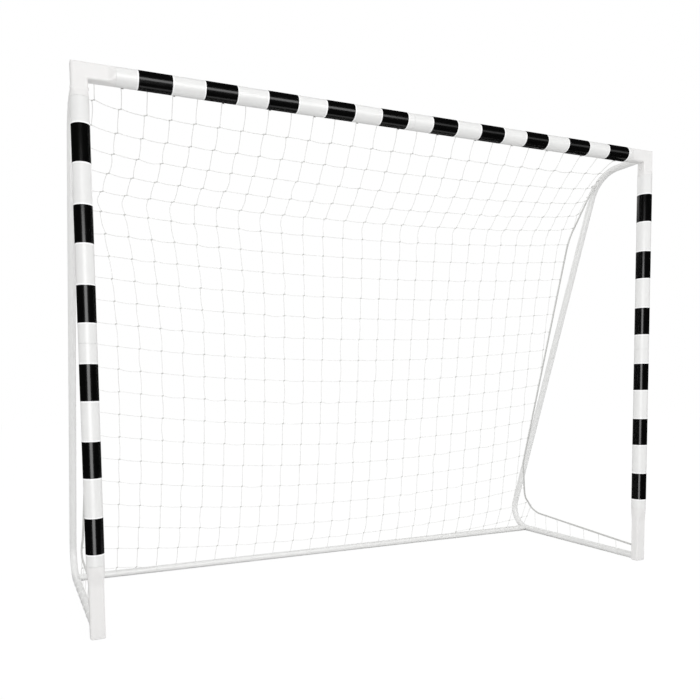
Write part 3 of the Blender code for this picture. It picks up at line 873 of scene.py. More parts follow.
@dataclass
class Bands:
    """The black foil bands and their bright margins."""

    finishes: Finishes
    thickness: float = 0.0005
    margin_width: float = 0.0045
    margin_thickness: float = 0.0003
    gap: float = 0.0001
    lip: float = 0.0001
    sides: int = 56

    def build(self) -> None:
        """Builds the bands of each post and of the crossbar."""
        s = SIZES
        along_bar = (0.0, math.pi / 2, 0.0)
        first_low = s.first_band_top - s.post_band_length
        for side in Side:
            lows = [first_low - i * s.post_band_pitch for i in range(s.post_bands)]
            points = [s.at(side.value * s.post_x, 0, low) for low in lows]
            nodes = [f"band_post_{side.label}_{i + 1}" for i in range(s.post_bands)]
            self.one(f"{side.label}_post", points, UNTURNED, s.post_band_length, nodes)
        first = s.bar_bands_from_left - s.post_x
        points = [s.at(first + i * s.bar_band_pitch, 0, s.bar_z) for i in range(s.bar_bands)]
        nodes = [f"band_bar_{i + 1:02d}" for i in range(s.bar_bands)]
        self.one("crossbar", points, along_bar, s.bar_band_length, nodes)

    def one(
        self,
        name: str,
        points: Sequence[Vector],
        turn: tuple[float, float, float],
        length: float,
        nodes: Sequence[str],
    ) -> None:
        """Builds one tube's bands as one piece, and their margins as another.

        Args:
            name: The tube's name.
            points: Where the bands start.
            turn: How they are turned from upright.
            length: Their length.
            nodes: The model's nodes that they replace.
        """
        foil = self.sleeve(length, 0.0, self.thickness)
        place_copies(f"{name}_bands", foil, points, turn, self.finishes.band, nodes)
        ends = (-self.margin_width - self.gap, length + self.gap)
        pair = [self.sleeve(self.margin_width, start, self.margin_thickness) for start in ends]
        margins = joined_mesh("margin_pair", pair)
        place_copies(f"{name}_band_margins", margins, points, turn, self.finishes.margin)

    def sleeve(self, length: float, start: float, thickness: float) -> bpy.types.Mesh:
        """Makes a sleeve round the Z axis.

        Args:
            length: Its length.
            start: The height that it starts at.
            thickness: Its thickness.

        Returns:
            The mesh.
        """
        path = [Vector((0, 0, start)), Vector((0, 0, start + length))]
        reach = SIZES.post_radius + self.gap + thickness
        return round_tube_mesh("sleeve", path, reach, thickness, ALONG_Y, self.sides, self.lip)


@dataclass
class Blocks:
    """The flat-sided corner connectors and feet, with their plugs, rear pegs and bolts."""

    finishes: Finishes
    sides: int = 48
    corner_loft_steps: int = 8
    foot_loft_steps: int = 14
    plug_length: float = 0.070
    plug_chamfer: float = 0.002
    peg_length: float = 0.055
    peg_overlap: float = 0.001
    peg_sides: int = 32
    sole_inset: float = 0.0015
    floor_thickness: float = 0.004
    bolt_below_bar: float = 0.049
    bolt_sides: int = 24
    # The nut's side from its rounded end inwards, then the head's outwards: (past the leg's face, radius)
    nut_outline: tuple[tuple[float, float], ...] = (
        (0.0040, 0.0022), (0.0036, 0.0025), (0.0032, 0.0025), (0.0032, 0.0042), (0.0028, 0.0046),
        (0.0004, 0.0046), (0.0, 0.0044), (0.0, 0.0025),
    )
    head_outline: tuple[tuple[float, float], ...] = (
        (0.0, 0.0025), (0.0, 0.0052), (0.0006, 0.0052), (0.0018, 0.0044), (0.0026, 0.0028), (0.0029, 0.0010),
    )

    def build(self) -> None:
        """Builds both corners with their bolts, and both feet."""
        for side in Side:
            self.corner(side)
            self.bolt(side)
            self.foot(side)

    def loft(
        self, start: Vector, heading: Vector, outline: Section, length: float, steps: int
    ) -> list[Station]:
        """Goes from a flat-sided outline to the round shoulder, easing in and out.

        Args:
            start: The outline's centre.
            heading: The way to the shoulder.
            outline: The flat-sided outline.
            length: The distance to the shoulder.
            steps: How many straight pieces the loft has.

        Returns:
            The stations.
        """
        circle = round_section(SIZES.post_radius, self.sides)
        stations = []
        for step in range(steps + 1):
            share = step / steps
            ease = share * share * (3 - 2 * share)
            stations.append((start + heading * length * share, blend_sections(outline, circle, ease)))
        return stations

    def plug(self, shoulder: Vector, heading: Vector) -> tuple[list[Station], list[Station]]:
        """Makes the plug past a shoulder.

        Args:
            shoulder: The middle of the block's round shoulder.
            heading: The way that the plug points.

        Returns:
            The plug's outer and inner stations.
        """
        radius = SIZES.post_radius - SIZES.post_wall - SIZES.clearance
        tip = shoulder + heading * self.plug_length
        full = round_section(radius, self.sides)
        outer = [(shoulder, full), (tip - heading * self.plug_chamfer, full)]
        outer.append((tip, round_section(radius - self.plug_chamfer / 2, self.sides)))
        bore = round_section(radius - SIZES.block_wall, self.sides)
        return outer, [(shoulder - heading * SIZES.block_wall, bore), (tip, bore)]

    def finish_block(
        self, name: str, mesh: bpy.types.Mesh, peg_centre: Vector, rear: float, node: str
    ) -> None:
        """Adds the pipe that the side tube slides over to a block's mesh, and places the piece.

        Args:
            name: The piece's name.
            mesh: The block's mesh.
            peg_centre: A point of the pipe's axis, on the post's axis.
            rear: The distance from there to the block's rear face.
            node: The model's node that the piece replaces.
        """
        start = peg_centre + ALONG_Y * (rear - self.peg_overlap)
        end = peg_centre + ALONG_Y * (rear + self.peg_length)
        radius = SIZES.side_radius - SIZES.side_wall - SIZES.clearance
        peg = round_tube_mesh(f"{name}_peg", [start, end], radius, SIZES.side_wall, ALONG_X, self.peg_sides)
        whole = joined_mesh(name, [mesh, peg])
        place_piece(name, whole, self.finishes.connector, stands_for=[node])

    def outlines(self, depth: float, width: float, edge: float) -> tuple[Section, Section]:
        """Makes the two outlines of a block.

        Args:
            depth: The block's size from front to rear.
            width: Its size across.
            edge: Its corners' radius.

        Returns:
            The block's outline and the outline of the hollow in it.
        """
        wall = SIZES.block_wall
        outline = flat_sided_section(depth, width, edge, self.sides)
        hollow = flat_sided_section(depth - 2 * wall, width - 2 * wall, edge - wall / 2, self.sides)
        return outline, hollow

    def corner(self, side: Side) -> None:
        """Builds one mitred corner connector.

        Args:
            side: The goal's side.
        """
        s = SIZES
        name = f"{side.label}_corner_block"
        corner = s.at(side.value * s.post_x, 0, s.bar_z)
        inward = Vector((-side.value, 0, 0))
        outline, hollow = self.outlines(s.corner_depth, s.corner_width, s.corner_edge)
        post_end, bar_end = corner - ALONG_Z * s.corner_post_leg, corner + inward * s.corner_bar_leg
        post_loft = self.loft(post_end, -ALONG_Z, outline, s.corner_taper, self.corner_loft_steps)
        bar_loft = self.loft(bar_end, inward, outline, s.corner_taper, self.corner_loft_steps)
        post_plug, post_bore = self.plug(post_loft[-1][0], -ALONG_Z)
        bar_plug, bar_bore = self.plug(bar_loft[-1][0], inward)
        outer = post_plug[::-1] + post_loft[::-1] + [(corner, outline)] + bar_loft + bar_plug
        inner = post_bore[::-1] + [(post_end, hollow), (corner, hollow), (bar_end, hollow)] + bar_bore
        mesh = tube_mesh(name, outer, inner, ALONG_Y)
        self.finish_block(name, mesh, corner, s.corner_depth / 2, f"corner_connector_{side.label}")

    def bolt(self, side: Side) -> None:
        """Builds the bolt through a corner's post leg: a domed head outside and a nut inside.

        Args:
            side: The goal's side.
        """
        s = SIZES
        centre = s.at(side.value * s.post_x, 0, s.bar_z - self.bolt_below_bar)
        outward = Vector((side.value, 0, 0))
        face = s.corner_width / 2
        profile = [(-face - past, radius) for past, radius in self.nut_outline]
        profile += [(face + past, radius) for past, radius in self.head_outline]
        stations = [(centre + outward * reach, round_section(r, self.bolt_sides)) for reach, r in profile]
        name = f"{side.label}_corner_bolt"
        place_piece(name, solid_mesh(name, stations, ALONG_Y), self.finishes.connector)

    def foot(self, side: Side) -> None:
        """Builds one foot, closed at its sole.

        Args:
            side: The goal's side.
        """
        s = SIZES
        name = f"{side.label}_foot_block"
        base = s.at(side.value * s.post_x, 0, 0)
        top = base + ALONG_Z * s.foot_height
        outline, hollow = self.outlines(s.foot_depth, s.foot_width, s.foot_edge)
        inset = self.sole_inset
        sole = flat_sided_section(
            s.foot_depth - 2 * inset, s.foot_width - 2 * inset, s.foot_edge - inset, self.sides
        )
        loft = self.loft(top, ALONG_Z, outline, s.foot_taper, self.foot_loft_steps)
        plug, bore = self.plug(loft[-1][0], ALONG_Z)
        outer = [(base, sole), (base + ALONG_Z * inset, outline)] + loft + plug
        inner = [(base + ALONG_Z * self.floor_thickness, hollow), (top, hollow)] + bore
        mesh = tube_mesh(name, outer, inner, ALONG_Y, capped=True)
        self.finish_block(name, mesh, base + ALONG_Z * s.ground_z, s.foot_depth / 2, f"foot_{side.label}")


@dataclass
class SideFrames:
    """The two bent side frames, each of two tubes."""

    finishes: Finishes
    sides: int = 32

    def build(self) -> None:
        """Builds the four tubes."""
        for side in Side:
            upper, lower = side_axis(side.value * SIZES.post_x)
            downhill = (lower[1] - lower[0]).normalized()
            lower[0] = lower[0] + downhill * SIZES.clearance
            for half, path in (("upper", upper), ("lower", lower)):
                name = f"{side.label}_side_frame_{half}_tube"
                mesh = round_tube_mesh(name, path, SIZES.side_radius, SIZES.side_wall, ALONG_X, self.sides)
                node = f"side_frame_{side.label}_{half}"
                place_piece(name, mesh, self.finishes.tube, stands_for=[node])


@dataclass
class GroundBar:
    """The rear ground bar's two tubes, coped round the side frames."""

    finishes: Finishes
    sides: int = 32

    def build(self) -> None:
        """Builds the two tubes."""
        s = SIZES
        depth = rear_depth()
        reach = s.side_radius + s.clearance
        for side in Side:
            name = f"{side.label}_ground_bar_tube"
            start = s.at(side.value * s.clearance / 2, depth, s.ground_z)
            end = s.at(side.value * s.post_x, depth, s.ground_z)
            axis = [start, end]
            mesh = round_tube_mesh(name, axis, s.side_radius, s.side_wall, ALONG_Y, self.sides, lip=0.0)
            for vertex in mesh.vertices:
                if abs(vertex.co.x - end.x) < MILLIMETRE:
                    height = vertex.co.z - s.ground_z
                    cope = math.sqrt(max(reach * reach - height * height, 0.0))
                    vertex.co.x = end.x - side.value * cope
            place_piece(name, mesh, self.finishes.tube, stands_for=[f"rear_bar_{side.label}"])


@dataclass
class SnapButtons:
    """The six snap buttons, each on its own body, and the leaf springs behind them."""

    finishes: Finishes
    radius: float = 0.0040
    proud: float = 0.0035
    dome: float = 0.0022
    dome_steps: int = 8
    edge: float = 0.0002
    flange_radius: float = 0.0055
    flange_thickness: float = 0.0012
    sides: int = 24
    from_joint: float = 0.028
    leaf_width: float = 0.008
    leaf_thickness: float = 0.0008
    leaf_length: float = 0.040
    leaf_tail: float = 0.006
    leaf_bend_steps: int = 12
    least_squash: float = 0.2

    def build(self) -> None:
        """Builds the buttons and springs of every plug joint."""
        s = SIZES
        post, thin = (s.post_radius, s.post_wall), (s.side_radius, s.side_wall)
        # Any two heights tell the slope's direction
        downhill = (s.slope_point(0, 0.5) - s.slope_point(0, 1.0)).normalized()
        rearward = ALONG_X.cross(downhill)
        for side in Side:
            x = side.value * s.post_x
            centre = s.at(x, 0, s.post_joint_z + self.from_joint)
            self.one(f"post_{side.label}", centre, ALONG_Y, ALONG_Z, *post)
            centre = s.slope_point(x, s.side_joint_z) + downhill * self.from_joint
            self.one(f"side_frame_{side.label}", centre, rearward, downhill, *thin)
        self.one("crossbar", s.at(self.from_joint, 0, s.bar_z), ALONG_Y, ALONG_X, *post)
        self.one("rear_bar", s.at(self.from_joint, rear_depth(), s.ground_z), ALONG_Y, ALONG_X, *thin)

    def one(
        self, spot: str, centre: Vector, outward: Vector, along: Vector, tube_radius: float, wall: float
    ) -> None:
        """Builds one button and its spring.

        Args:
            spot: The joint's name, as it stands in the nodes' names.
            centre: The button's place on the tubes' axis.
            outward: The way the button stands out.
            along: The way down the plug.
            tube_radius: The outer tube's radius.
            wall: The wall thickness of that tube and of the plug.
        """
        sideways = outward.cross(along)
        bore = tube_radius - 2 * wall - SIZES.clearance
        top = math.sqrt(bore**2 - self.flange_radius**2) - SIZES.clearance
        low = top - self.flange_thickness
        rim = self.flange_radius - self.edge
        profile = [(low, rim), (low + self.edge, self.flange_radius)]
        profile += [(top - self.edge, self.flange_radius), (top, rim), (top, self.radius)]
        tip = tube_radius + self.proud
        for step in range(self.dome_steps + 1):
            angle = math.pi / 2 * step / self.dome_steps
            height = tip - self.dome + self.dome * math.sin(angle)
            profile.append((height, max(self.radius * math.cos(angle), self.edge)))
        stations = [(centre + outward * h, round_section(r, self.sides)) for h, r in profile]
        name = f"{spot}_button_pin"
        mesh = solid_mesh(name, stations, sideways)
        body, node = f"button_{spot}", f"snap_button_{spot}"
        place_piece(name, mesh, self.finishes.zinc, body=body, stands_for=[node])
        travel = self.proud + wall + SIZES.clearance
        self.spring(spot, centre, (outward, along, sideways), low - SIZES.clearance, bore, travel)

    def spring(
        self,
        spot: str,
        centre: Vector,
        axes: tuple[Vector, Vector, Vector],
        seat: float,
        bore: float,
        travel: float,
    ) -> None:
        """Builds one bent leaf spring.

        Args:
            spot: The joint's name, as it stands in the nodes' names.
            centre: The button's place on the tubes' axis.
            axes: The ways outwards, down the plug and across it.
            seat: Height of the button's flange over the axis.
            bore: The plug's bore radius.
            travel: How far the button goes in. Not used.
        """
        outward, along, sideways = axes
        far = -math.sqrt(bore**2 - (self.leaf_width / 2) ** 2) + SIZES.clearance
        height = seat - far
        half, wide = self.leaf_thickness / 2, self.leaf_width / 2
        line = [(-self.leaf_tail, seat - half), (self.leaf_tail, seat - half)]
        middle = (seat + far) / 2
        bend = height / 4
        for step in range(self.leaf_bend_steps + 1):
            angle = math.pi / 2 - math.pi * step / self.leaf_bend_steps
            reach = self.leaf_length - bend - half + bend * math.cos(angle)
            line.append((reach, middle + bend * math.sin(angle)))
        line += [(self.leaf_tail, far + half), (-self.leaf_tail, far + half)]
        section = [(-wide, -half), (-wide, half), (wide, half), (wide, -half)]
        stations = [(centre + along * a + outward * h, section) for a, h in line]
        name = f"{spot}_leaf_spring_strip"
        mesh = solid_mesh(name, stations, sideways)
        node = f"leaf_spring_{spot}"
        piece = place_piece(name, mesh, self.finishes.spring, stands_for=[node])
        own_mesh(piece)


@dataclass
class HiddenStubs:
    """Pieces of the model that stay as they are and only take their finish."""

    finishes: Finishes

    def build(self) -> None:
        """Gives the ground bar's stubs their finish."""
        for side in Side:
            node = frame["nodes"][f"rear_stub_{side.label}"]
            if not node.material_slots:
                node.data.materials.append(self.finishes.tube)
            for slot in node.material_slots:
                slot.material = self.finishes.tube
            LOG.info("%s keeps its own shape", node.name)


@dataclass(frozen=True)
class NetForm:
    """The surface that the net lies on, and the edge ropes' routes, from the frame's sizes.

    A place on the surface is an (x, run) pair, where run is the distance from the crossbar down the middle
    of the net.
    """

    off_tube: float = 0.0015
    rope_from_roof_share: float = 0.40
    edge_crest: tuple[float, float] = (0.160, 0.024)
    edge_fullness: float = 12.0
    knee_turn: float = 0.05
    knee_steps: int = 12
    bend_steps: int = 7
    tied_step: int = 5
    flare_start: float = 0.6
    flare_turn: int = 10
    leave_z: float = 0.165
    turn_run: float = 0.050
    turn_corner: tuple[float, float] = (0.008, 0.022)
    rope_low_z: float = 0.1125
    rope_foot_z: float = 0.066
    rope_off_foot: float = 0.001
    back_steps: int = 48
    first_back_step: int = 3
    low_steps: int = 16

    def folds(self) -> list[Vector]:
        """Finds the folds of the net in the goal's middle plane.

        Returns:
            The points on the crossbar, the knee, the skirt's fold and the rear bar.
        """
        s = SIZES
        axis = s.at(0, 0, s.bar_z)
        knee = s.slope_point(0, s.knee_z) - ALONG_Y * s.knee_ahead
        fold = s.slope_point(0, s.fold_z) - ALONG_Y * s.fold_ahead
        rear = s.at(0, rear_depth(), s.ground_z)
        bar = axis + (knee - axis).normalized() * (s.post_radius + self.off_tube)
        rear += (fold - rear).normalized() * (s.side_radius + self.off_tube)
        return [bar, knee, fold, rear]

    def runs(self) -> list[float]:
        """Measures how far down the net the folds lie.

        Returns:
            One distance for each fold, the first of which is 0.
        """
        folds = self.folds()
        reached = [0.0]
        for first, second in zip(folds, folds[1:]):
            reached.append(reached[-1] + (second - first).length)
        return reached

    def rope_x(self, side: Side, z: float) -> float:
        """The edge rope's place across the goal at a height.

        Args:
            side: The goal's side.
            z: The height. Low down the rope goes out to its tube.

        Returns:
            The place, below zero on the left.
        """
        s = SIZES
        beside = s.post_x - s.side_radius - s.clearance - s.rope_radius
        flare_z = s.fold_z + (s.knee_z - s.fold_z) * s.flare_share
        below = min(max((flare_z - z) / (flare_z - s.fold_z), 0.0), 1.0)
        share = 1 - (self.flare_start * below + (1 - self.flare_start) * below**self.flare_turn)
        inset = s.right_net_inset if side is Side.RIGHT else s.left_net_inset
        return side.value * (beside - inset * share)

    def tied(self, side: Side) -> Vector:
        """The place beside a top bend where the rope is tied to the tube.

        Args:
            side: The goal's side.

        Returns:
            The rope's first point.
        """
        s = SIZES
        start, top = s.at(0, 0, s.bar_z), s.slope_point(0, s.bar_z)
        bend = fillet(start, top, s.slope_point(0, s.ground_z), s.top_bend_radius, self.bend_steps)
        return bend[self.tied_step] + ALONG_X * self.rope_x(side, 0.0)

    def knee_point(self, side: Side, ahead: float) -> Vector:
        """A point of the rope's rounded knee.

        Args:
            side: The goal's side.
            ahead: Its distance ahead of the knee's corner or, below zero, past it.

        Returns:
            The point.
        """
        knee, fold = self.folds()[1:3]
        corner = knee + ALONG_X * self.rope_x(side, knee.z)
        above = corner + (self.tied(side) - corner).normalized() * self.knee_turn
        below = knee + (fold - knee).normalized() * self.knee_turn
        below += ALONG_X * self.rope_x(side, below.z)
        return bent(above, corner, below, (1 - ahead / self.knee_turn) / 2)

    def edge(self, side: Side, run: float) -> Vector:
        """The net's edge at one side.

        Args:
            side: The goal's side.
            run: The distance down the net.

        Returns:
            The edge's point: along the roof up to the tie, and beside the rope from there.
        """
        folds, knee_run = self.folds(), self.runs()[1]
        to_net = -ALONG_X * side.value * SIZES.net_to_rope
        if run >= knee_run + self.knee_turn:
            middle = self.middle(run)
            return middle + ALONG_X * self.rope_x(side, middle.z) + to_net
        if run >= knee_run:
            return self.knee_point(side, knee_run - run) + to_net
        share = run / knee_run
        tied = self.tied(side)
        if share <= self.rope_from_roof_share:
            crest = SIZES.at(tied.x, self.edge_crest[0], SIZES.bar_z + self.edge_crest[1])
            return bent(folds[0] + ALONG_X * tied.x, crest, tied, share / self.rope_from_roof_share) + to_net
        corner = folds[1] + ALONG_X * self.rope_x(side, SIZES.knee_z)
        past = (share - self.rope_from_roof_share) / (1 - self.rope_from_roof_share)
        ahead = (corner - tied).length * (1 - past)
        return (self.knee_point(side, ahead) if ahead < self.knee_turn else tied.lerp(corner, past)) + to_net

    def middle(self, run: float) -> Vector:
        """The net's line in the goal's middle plane.

        Args:
            run: The distance down the net.

        Returns:
            The line's point there.
        """
        folds, runs = self.folds(), self.runs()
        index = next((i for i in (0, 1) if run <= runs[i + 1]), 2)
        share = (run - runs[index]) / (runs[index + 1] - runs[index])
        return folds[index].lerp(folds[index + 1], share)

    def point(self, x: float, run: float) -> Vector:
        """A point of the net: flat in the middle, lifted to the edge ropes at both sides of the roof.

        Args:
            x: Distance to the right of the goal's middle.
            run: The distance down the net.

        Returns:
            The surface's point there.
        """
        edge, flat = self.edge(Side.LEFT if x < 0 else Side.RIGHT, run), self.middle(run)
        lift = min(x / edge.x, 1.0) ** self.edge_fullness
        lifted = flat.lerp(Vector((0, edge.y, edge.z)), lift)
        return lifted + ALONG_X * x

    def rope_route(self, side: Side) -> list[Vector]:
        """The edge rope's axis.

        Args:
            side: The goal's side.

        Returns:
            Its points from the top bend to the foot.
        """
        s = SIZES
        knee, fold = self.folds()[1:3]
        start = self.tied(side)
        corner = knee + ALONG_X * self.rope_x(side, knee.z)
        straight = 1 - self.knee_turn / (corner - start).length
        half = self.knee_steps // 2
        points = [start.lerp(corner, straight * step / half) for step in range(half)]
        points += [self.knee_point(side, self.knee_turn * (1 - i / half)) for i in range(self.knee_steps + 1)]
        for step in range(self.first_back_step, self.back_steps + 1):
            z = knee.z + (self.leave_z - knee.z) * step / self.back_steps
            middle = knee.lerp(fold, (knee.z - z) / (knee.z - fold.z))
            points.append(middle + ALONG_X * self.rope_x(side, z))
        leaving = points.pop()
        low_x = side.value * abs(self.rope_x(side, 0.0))
        low = s.at(low_x, fold.y - s.post_y - self.turn_run, self.rope_low_z)
        turn = Vector((low_x, fold.y + self.turn_corner[0], fold.z - self.turn_corner[1]))
        points += [bent(leaving, turn, low, step / self.low_steps) for step in range(self.low_steps)]
        end = s.at(low_x, s.foot_depth / 2 + self.rope_off_foot, self.rope_foot_z)
        points += [low.lerp(end, step / self.low_steps) for step in range(self.low_steps + 1)]
        return points


def smooth_through(places: Sequence[float], values: Sequence[float], at: float) -> float:
    """Reads the smooth curve through a few values.

    Args:
        places: Where the values stand.
        values: The values, one for each place.
        at: Where the curve is read.

    Returns:
        The value of the curve there.
    """
    total = 0.0
    for i, value in enumerate(values):
        for j, place in enumerate(places):
            if i != j:
                value *= (at - place) / (places[i] - place)
        total += value
    return total


@dataclass(frozen=True)
class NetMesh:
    """Where the knots sit on the net's surface, in metres, smooth between a few measured columns and rows.

    Half rows lie between two rows of knots: the net is folded at its knee half way from row 5 to row 6.
    """

    knee_row: float = 5.5
    last_row: int = 22
    rows: tuple[float, ...] = (0.0, 2.75, 5.5, 11.0, 16.5, 22.0)
    # Distance to the right of the goal's middle, in each of the rows
    across_columns: tuple[int, ...] = (0, 9, 18, 27)
    across_bar: tuple[float, ...] = (-1.202, -0.462, 0.301, 1.110)
    across_roof: tuple[float, ...] = (-1.197, -0.461, 0.322, 1.058)
    across_knee: tuple[float, ...] = (-1.250, -0.486, 0.312, 1.059)
    across_upper_back: tuple[float, ...] = (-1.184, -0.430, 0.348, 1.085)
    across_lower_back: tuple[float, ...] = (-1.174, -0.397, 0.393, 1.146)
    across_last: tuple[float, ...] = (-1.161, -0.395, 0.444, 1.188)
    # Distance down the net from the crossbar: it sags most in the middle column
    down_columns: tuple[int, ...] = (0, 13, 26)
    down_roof: tuple[float, ...] = (0.201, 0.227, 0.193)
    down_knee: tuple[float, ...] = (0.378, 0.420, 0.374)
    down_upper_back: tuple[float, ...] = (0.805, 0.867, 0.819)
    down_lower_back: tuple[float, ...] = (1.286, 1.386, 1.305)
    down_last: tuple[float, ...] = (1.840, 1.903, 1.817)

    def across(self, column: float, row: float) -> float:
        """A knot's distance to the right of the goal's middle.

        Args:
            column: Its column.
            row: Its row.

        Returns:
            The distance in metres.
        """
        lines = (self.across_bar, self.across_roof, self.across_knee)
        lines += (self.across_upper_back, self.across_lower_back, self.across_last)
        return self.between_rows([smooth_through(self.across_columns, line, column) for line in lines], row)

    def down(self, column: float, row: float) -> float:
        """A knot's distance down the net from the crossbar.

        Args:
            column: Its column.
            row: Its row.

        Returns:
            The distance in metres.
        """
        lines = (self.down_roof, self.down_knee, self.down_upper_back, self.down_lower_back, self.down_last)
        runs = [smooth_through(self.down_columns, line, column) for line in lines]
        return self.between_rows([0.0, *runs], row)

    def between_rows(self, values: Sequence[float], row: float) -> float:
        """Reads values given for the measured rows, with a kink at the knee.

        Args:
            values: One value for each measured row.
            row: The row to read them at.

        Returns:
            The value there.
        """
        knee = self.rows.index(self.knee_row)
        part = slice(0, knee + 1) if row <= self.knee_row else slice(knee, None)
        return smooth_through(self.rows[part], values[part], row)

    def place(self, column: float, row: float, end: float) -> tuple[float, float]:
        """Finds a knot on the net's surface.

        Args:
            column: Its column.
            row: Its row, where the one past the last row is on the ground bar.
            end: The run of the ground bar.

        Returns:
            Its x and run.
        """
        kept = min(row, self.last_row)
        x, run = self.across(column, kept), self.down(column, kept)
        if row > self.last_row:
            run += (end - run) * (row - self.last_row)
        return x, min(max(run, 0.0), end)


Knot = tuple[float, float]


@dataclass
class Net:
    """The knotted net: every strand runs from knot to knot and ends at an edge rope or at a tube.

    A knot is named by its column and row.
    """

    finishes: Finishes
    form: NetForm = field(default_factory=NetForm)
    grid: NetMesh = field(default_factory=NetMesh)
    columns: range = range(-1, 31)
    twine_radius: float = 0.00125
    knot_radius: float = 0.0027
    knot_stretch: tuple[float, float, float] = (1.0, 0.85, 1.15)
    waist_radius: float = 0.0017
    waist_reach: float = 0.9
    waist_sides: int = 8
    lobe: Vector = field(default_factory=lambda: Vector((0.0042, 0.0, 0.0018)))
    back_lobe_share: float = 0.45
    tie_lobe_share: float = 0.3
    slack: float = 0.0022
    near_tube: float = 0.004
    steps: int = 5
    cut_halvings: int = 14
    head_steps: int = 48
    edge_steps: int = 96
    chance: random.Random = field(default_factory=lambda: random.Random(7))
    ties: list[Vector] = field(default_factory=list)
    end: float = field(init=False)

    def __post_init__(self) -> None:
        """Reads where the ground bar is."""
        self.end = self.form.runs()[-1]

    def build(self) -> None:
        """Builds the strands and the knots."""
        last = self.grid.last_row
        lines: list[list[Vector]] = []
        roof_knots: list[Vector] = []
        back_knots: list[Vector] = []
        for row in range(last + 1):
            knots = roof_knots if row <= self.grid.knee_row else back_knots
            for column in self.columns:
                if self.grid.place(column, row, self.end)[1] > self.end - self.near_tube:
                    continue
                here = (column, row)
                if row and self.inside(*here):
                    knots.append(self.spot(*here))
                if row:
                    lines.append(self.strand(here, (column + 1, row), (1, -1)))
                lines.append(self.strand(here, (column, row + 1), (-1, 1 if row < last else 0)))
        lines += self.selvage()
        nodes = ("net_roof", "net_back", "net_skirt")
        place_cords("net_strands", lines, self.twine_radius, self.finishes.twine, stands_for=nodes)
        self.knots("net_roof_knots", roof_knots, 1.0)
        self.knots("net_back_knots", back_knots, self.back_lobe_share)
        self.knots("net_edge_ties", self.ties, self.tie_lobe_share)

    def along(self, row: int) -> list[Vector]:
        """The knots of one row: row 0 is on the crossbar and the one past the last on the ground bar."""
        return [self.spot(column, row) for column in self.columns if self.inside(column, row)]

    def inside(self, column: float, row: float) -> bool:
        """Whether a knot lies within the edge ropes.

        Args:
            column: Its column.
            row: Its row.

        Returns:
            True where it lies within them.
        """
        x, run = self.grid.place(column, row, self.end)
        side = Side.LEFT if x < 0 else Side.RIGHT
        return abs(x) < abs(self.form.edge(side, run).x)

    def spot(self, column: float, row: float) -> Vector:
        """The point of the surface at a knot."""
        return self.form.point(*self.grid.place(column, row, self.end))

    def strand(self, start: Knot, end: Knot, split: tuple[int, int]) -> list[Vector]:
        """Leads one strand between two knots, cut off and tied at the edge ropes.

        Args:
            start: The first knot.
            end: The second knot.
            split: Which lobe of each knot it goes to, -1 for the lower left and 1 for the upper right.

        Returns:
            The strand's points, or none where it lies outside the net.
        """
        shares = [step / self.steps for step in range(self.steps + 1)]
        kept = [share for share in shares if self.inside(*self.mark(start, end, share))]
        if len(kept) < 2:
            return []
        cut_low, cut_high = kept[0] > 0, kept[-1] < 1
        if cut_low:
            kept.insert(0, self.cut_at_edge(kept[0], kept[0] - 1 / self.steps, start, end))
        if cut_high:
            kept.append(self.cut_at_edge(kept[-1], kept[-1] + 1 / self.steps, start, end))
        give = self.chance.gauss(0, 1)
        level = start[1] == end[1]
        bow = Vector((0, 0, -abs(give))) if level else Vector((give, 0, 0))
        points = []
        for share in kept:
            column, row = self.mark(start, end, share)
            size = 1.0 if row <= self.grid.knee_row else self.back_lobe_share
            shift = self.lobe * size * (split[0] * (1 - share) ** 3 + split[1] * share**3)
            shift += bow * self.slack * math.sin(math.pi * share)
            points.append(self.spot(column, row) + shift)
        if cut_low:
            self.ties.append(points[0])
        if cut_high:
            self.ties.append(points[-1])
        return points

    @staticmethod
    def mark(start: Knot, end: Knot, share: float) -> Knot:
        """The place at a share of the way between two knots."""
        return start[0] + (end[0] - start[0]) * share, start[1] + (end[1] - start[1]) * share

    def cut_at_edge(self, within: float, outer: float, start: Knot, end: Knot) -> float:
        """Finds where a strand crosses the net's edge.

        Args:
            within: A share of its way that is within the edge.
            outer: A share that is outside.
            start: The strand's first knot.
            end: Its second knot.

        Returns:
            The last share that is within the edge.
        """
        low, high = within, outer
        for _ in range(self.cut_halvings):
            share = (low + high) / 2
            low, high = (share, high) if self.inside(*self.mark(start, end, share)) else (low, share)
        return low

    def selvage(self) -> list[list[Vector]]:
        """Leads the cords that the strands are tied to.

        Returns:
            The points of the crossbar's cord, the left edge's and the right edge's.
        """
        reach = abs(self.form.edge(Side.RIGHT, 0.0).x)
        half = self.head_steps // 2
        lines = [[self.form.point(reach * (step / half - 1), 0.0) for step in range(self.head_steps + 1)]]
        for side in Side:
            runs = [self.end * step / self.edge_steps for step in range(self.edge_steps + 1)]
            lines.append([self.form.edge(side, run) for run in runs])
        return lines

    def knots(self, name: str, points: Sequence[Vector], size: float) -> None:
        """Sets a two-lobed knot at each crossing.

        Args:
            name: The piece's name.
            points: The crossings.
            size: How far apart the two lobes are, where 1 is a knot that isn't pulled tight.
        """
        work = bmesh.new()
        lobe = self.lobe * size
        for sign in (-1, 1):
            turn = Matrix.Translation(lobe * sign)
            made = bmesh.ops.create_icosphere(work, subdivisions=2, radius=self.knot_radius, matrix=turn)
            bmesh.ops.scale(work, vec=self.knot_stretch, space=turn.inverted(), verts=made["verts"])
        across = lobe.normalized()
        up = across.cross(ALONG_Y)
        circle = round_section(self.waist_radius, self.waist_sides)
        ends = (-lobe * self.waist_reach, lobe * self.waist_reach)
        rings = [[work.verts.new(end + ALONG_Y * a + up * b) for a, b in circle] for end in ends]
        bridge(work, rings[0], rings[1])
        mesh = tidy_mesh("knot_shape", work, sharp_degrees=60.0)
        place_copies(name, mesh, points, UNTURNED, self.finishes.knot)


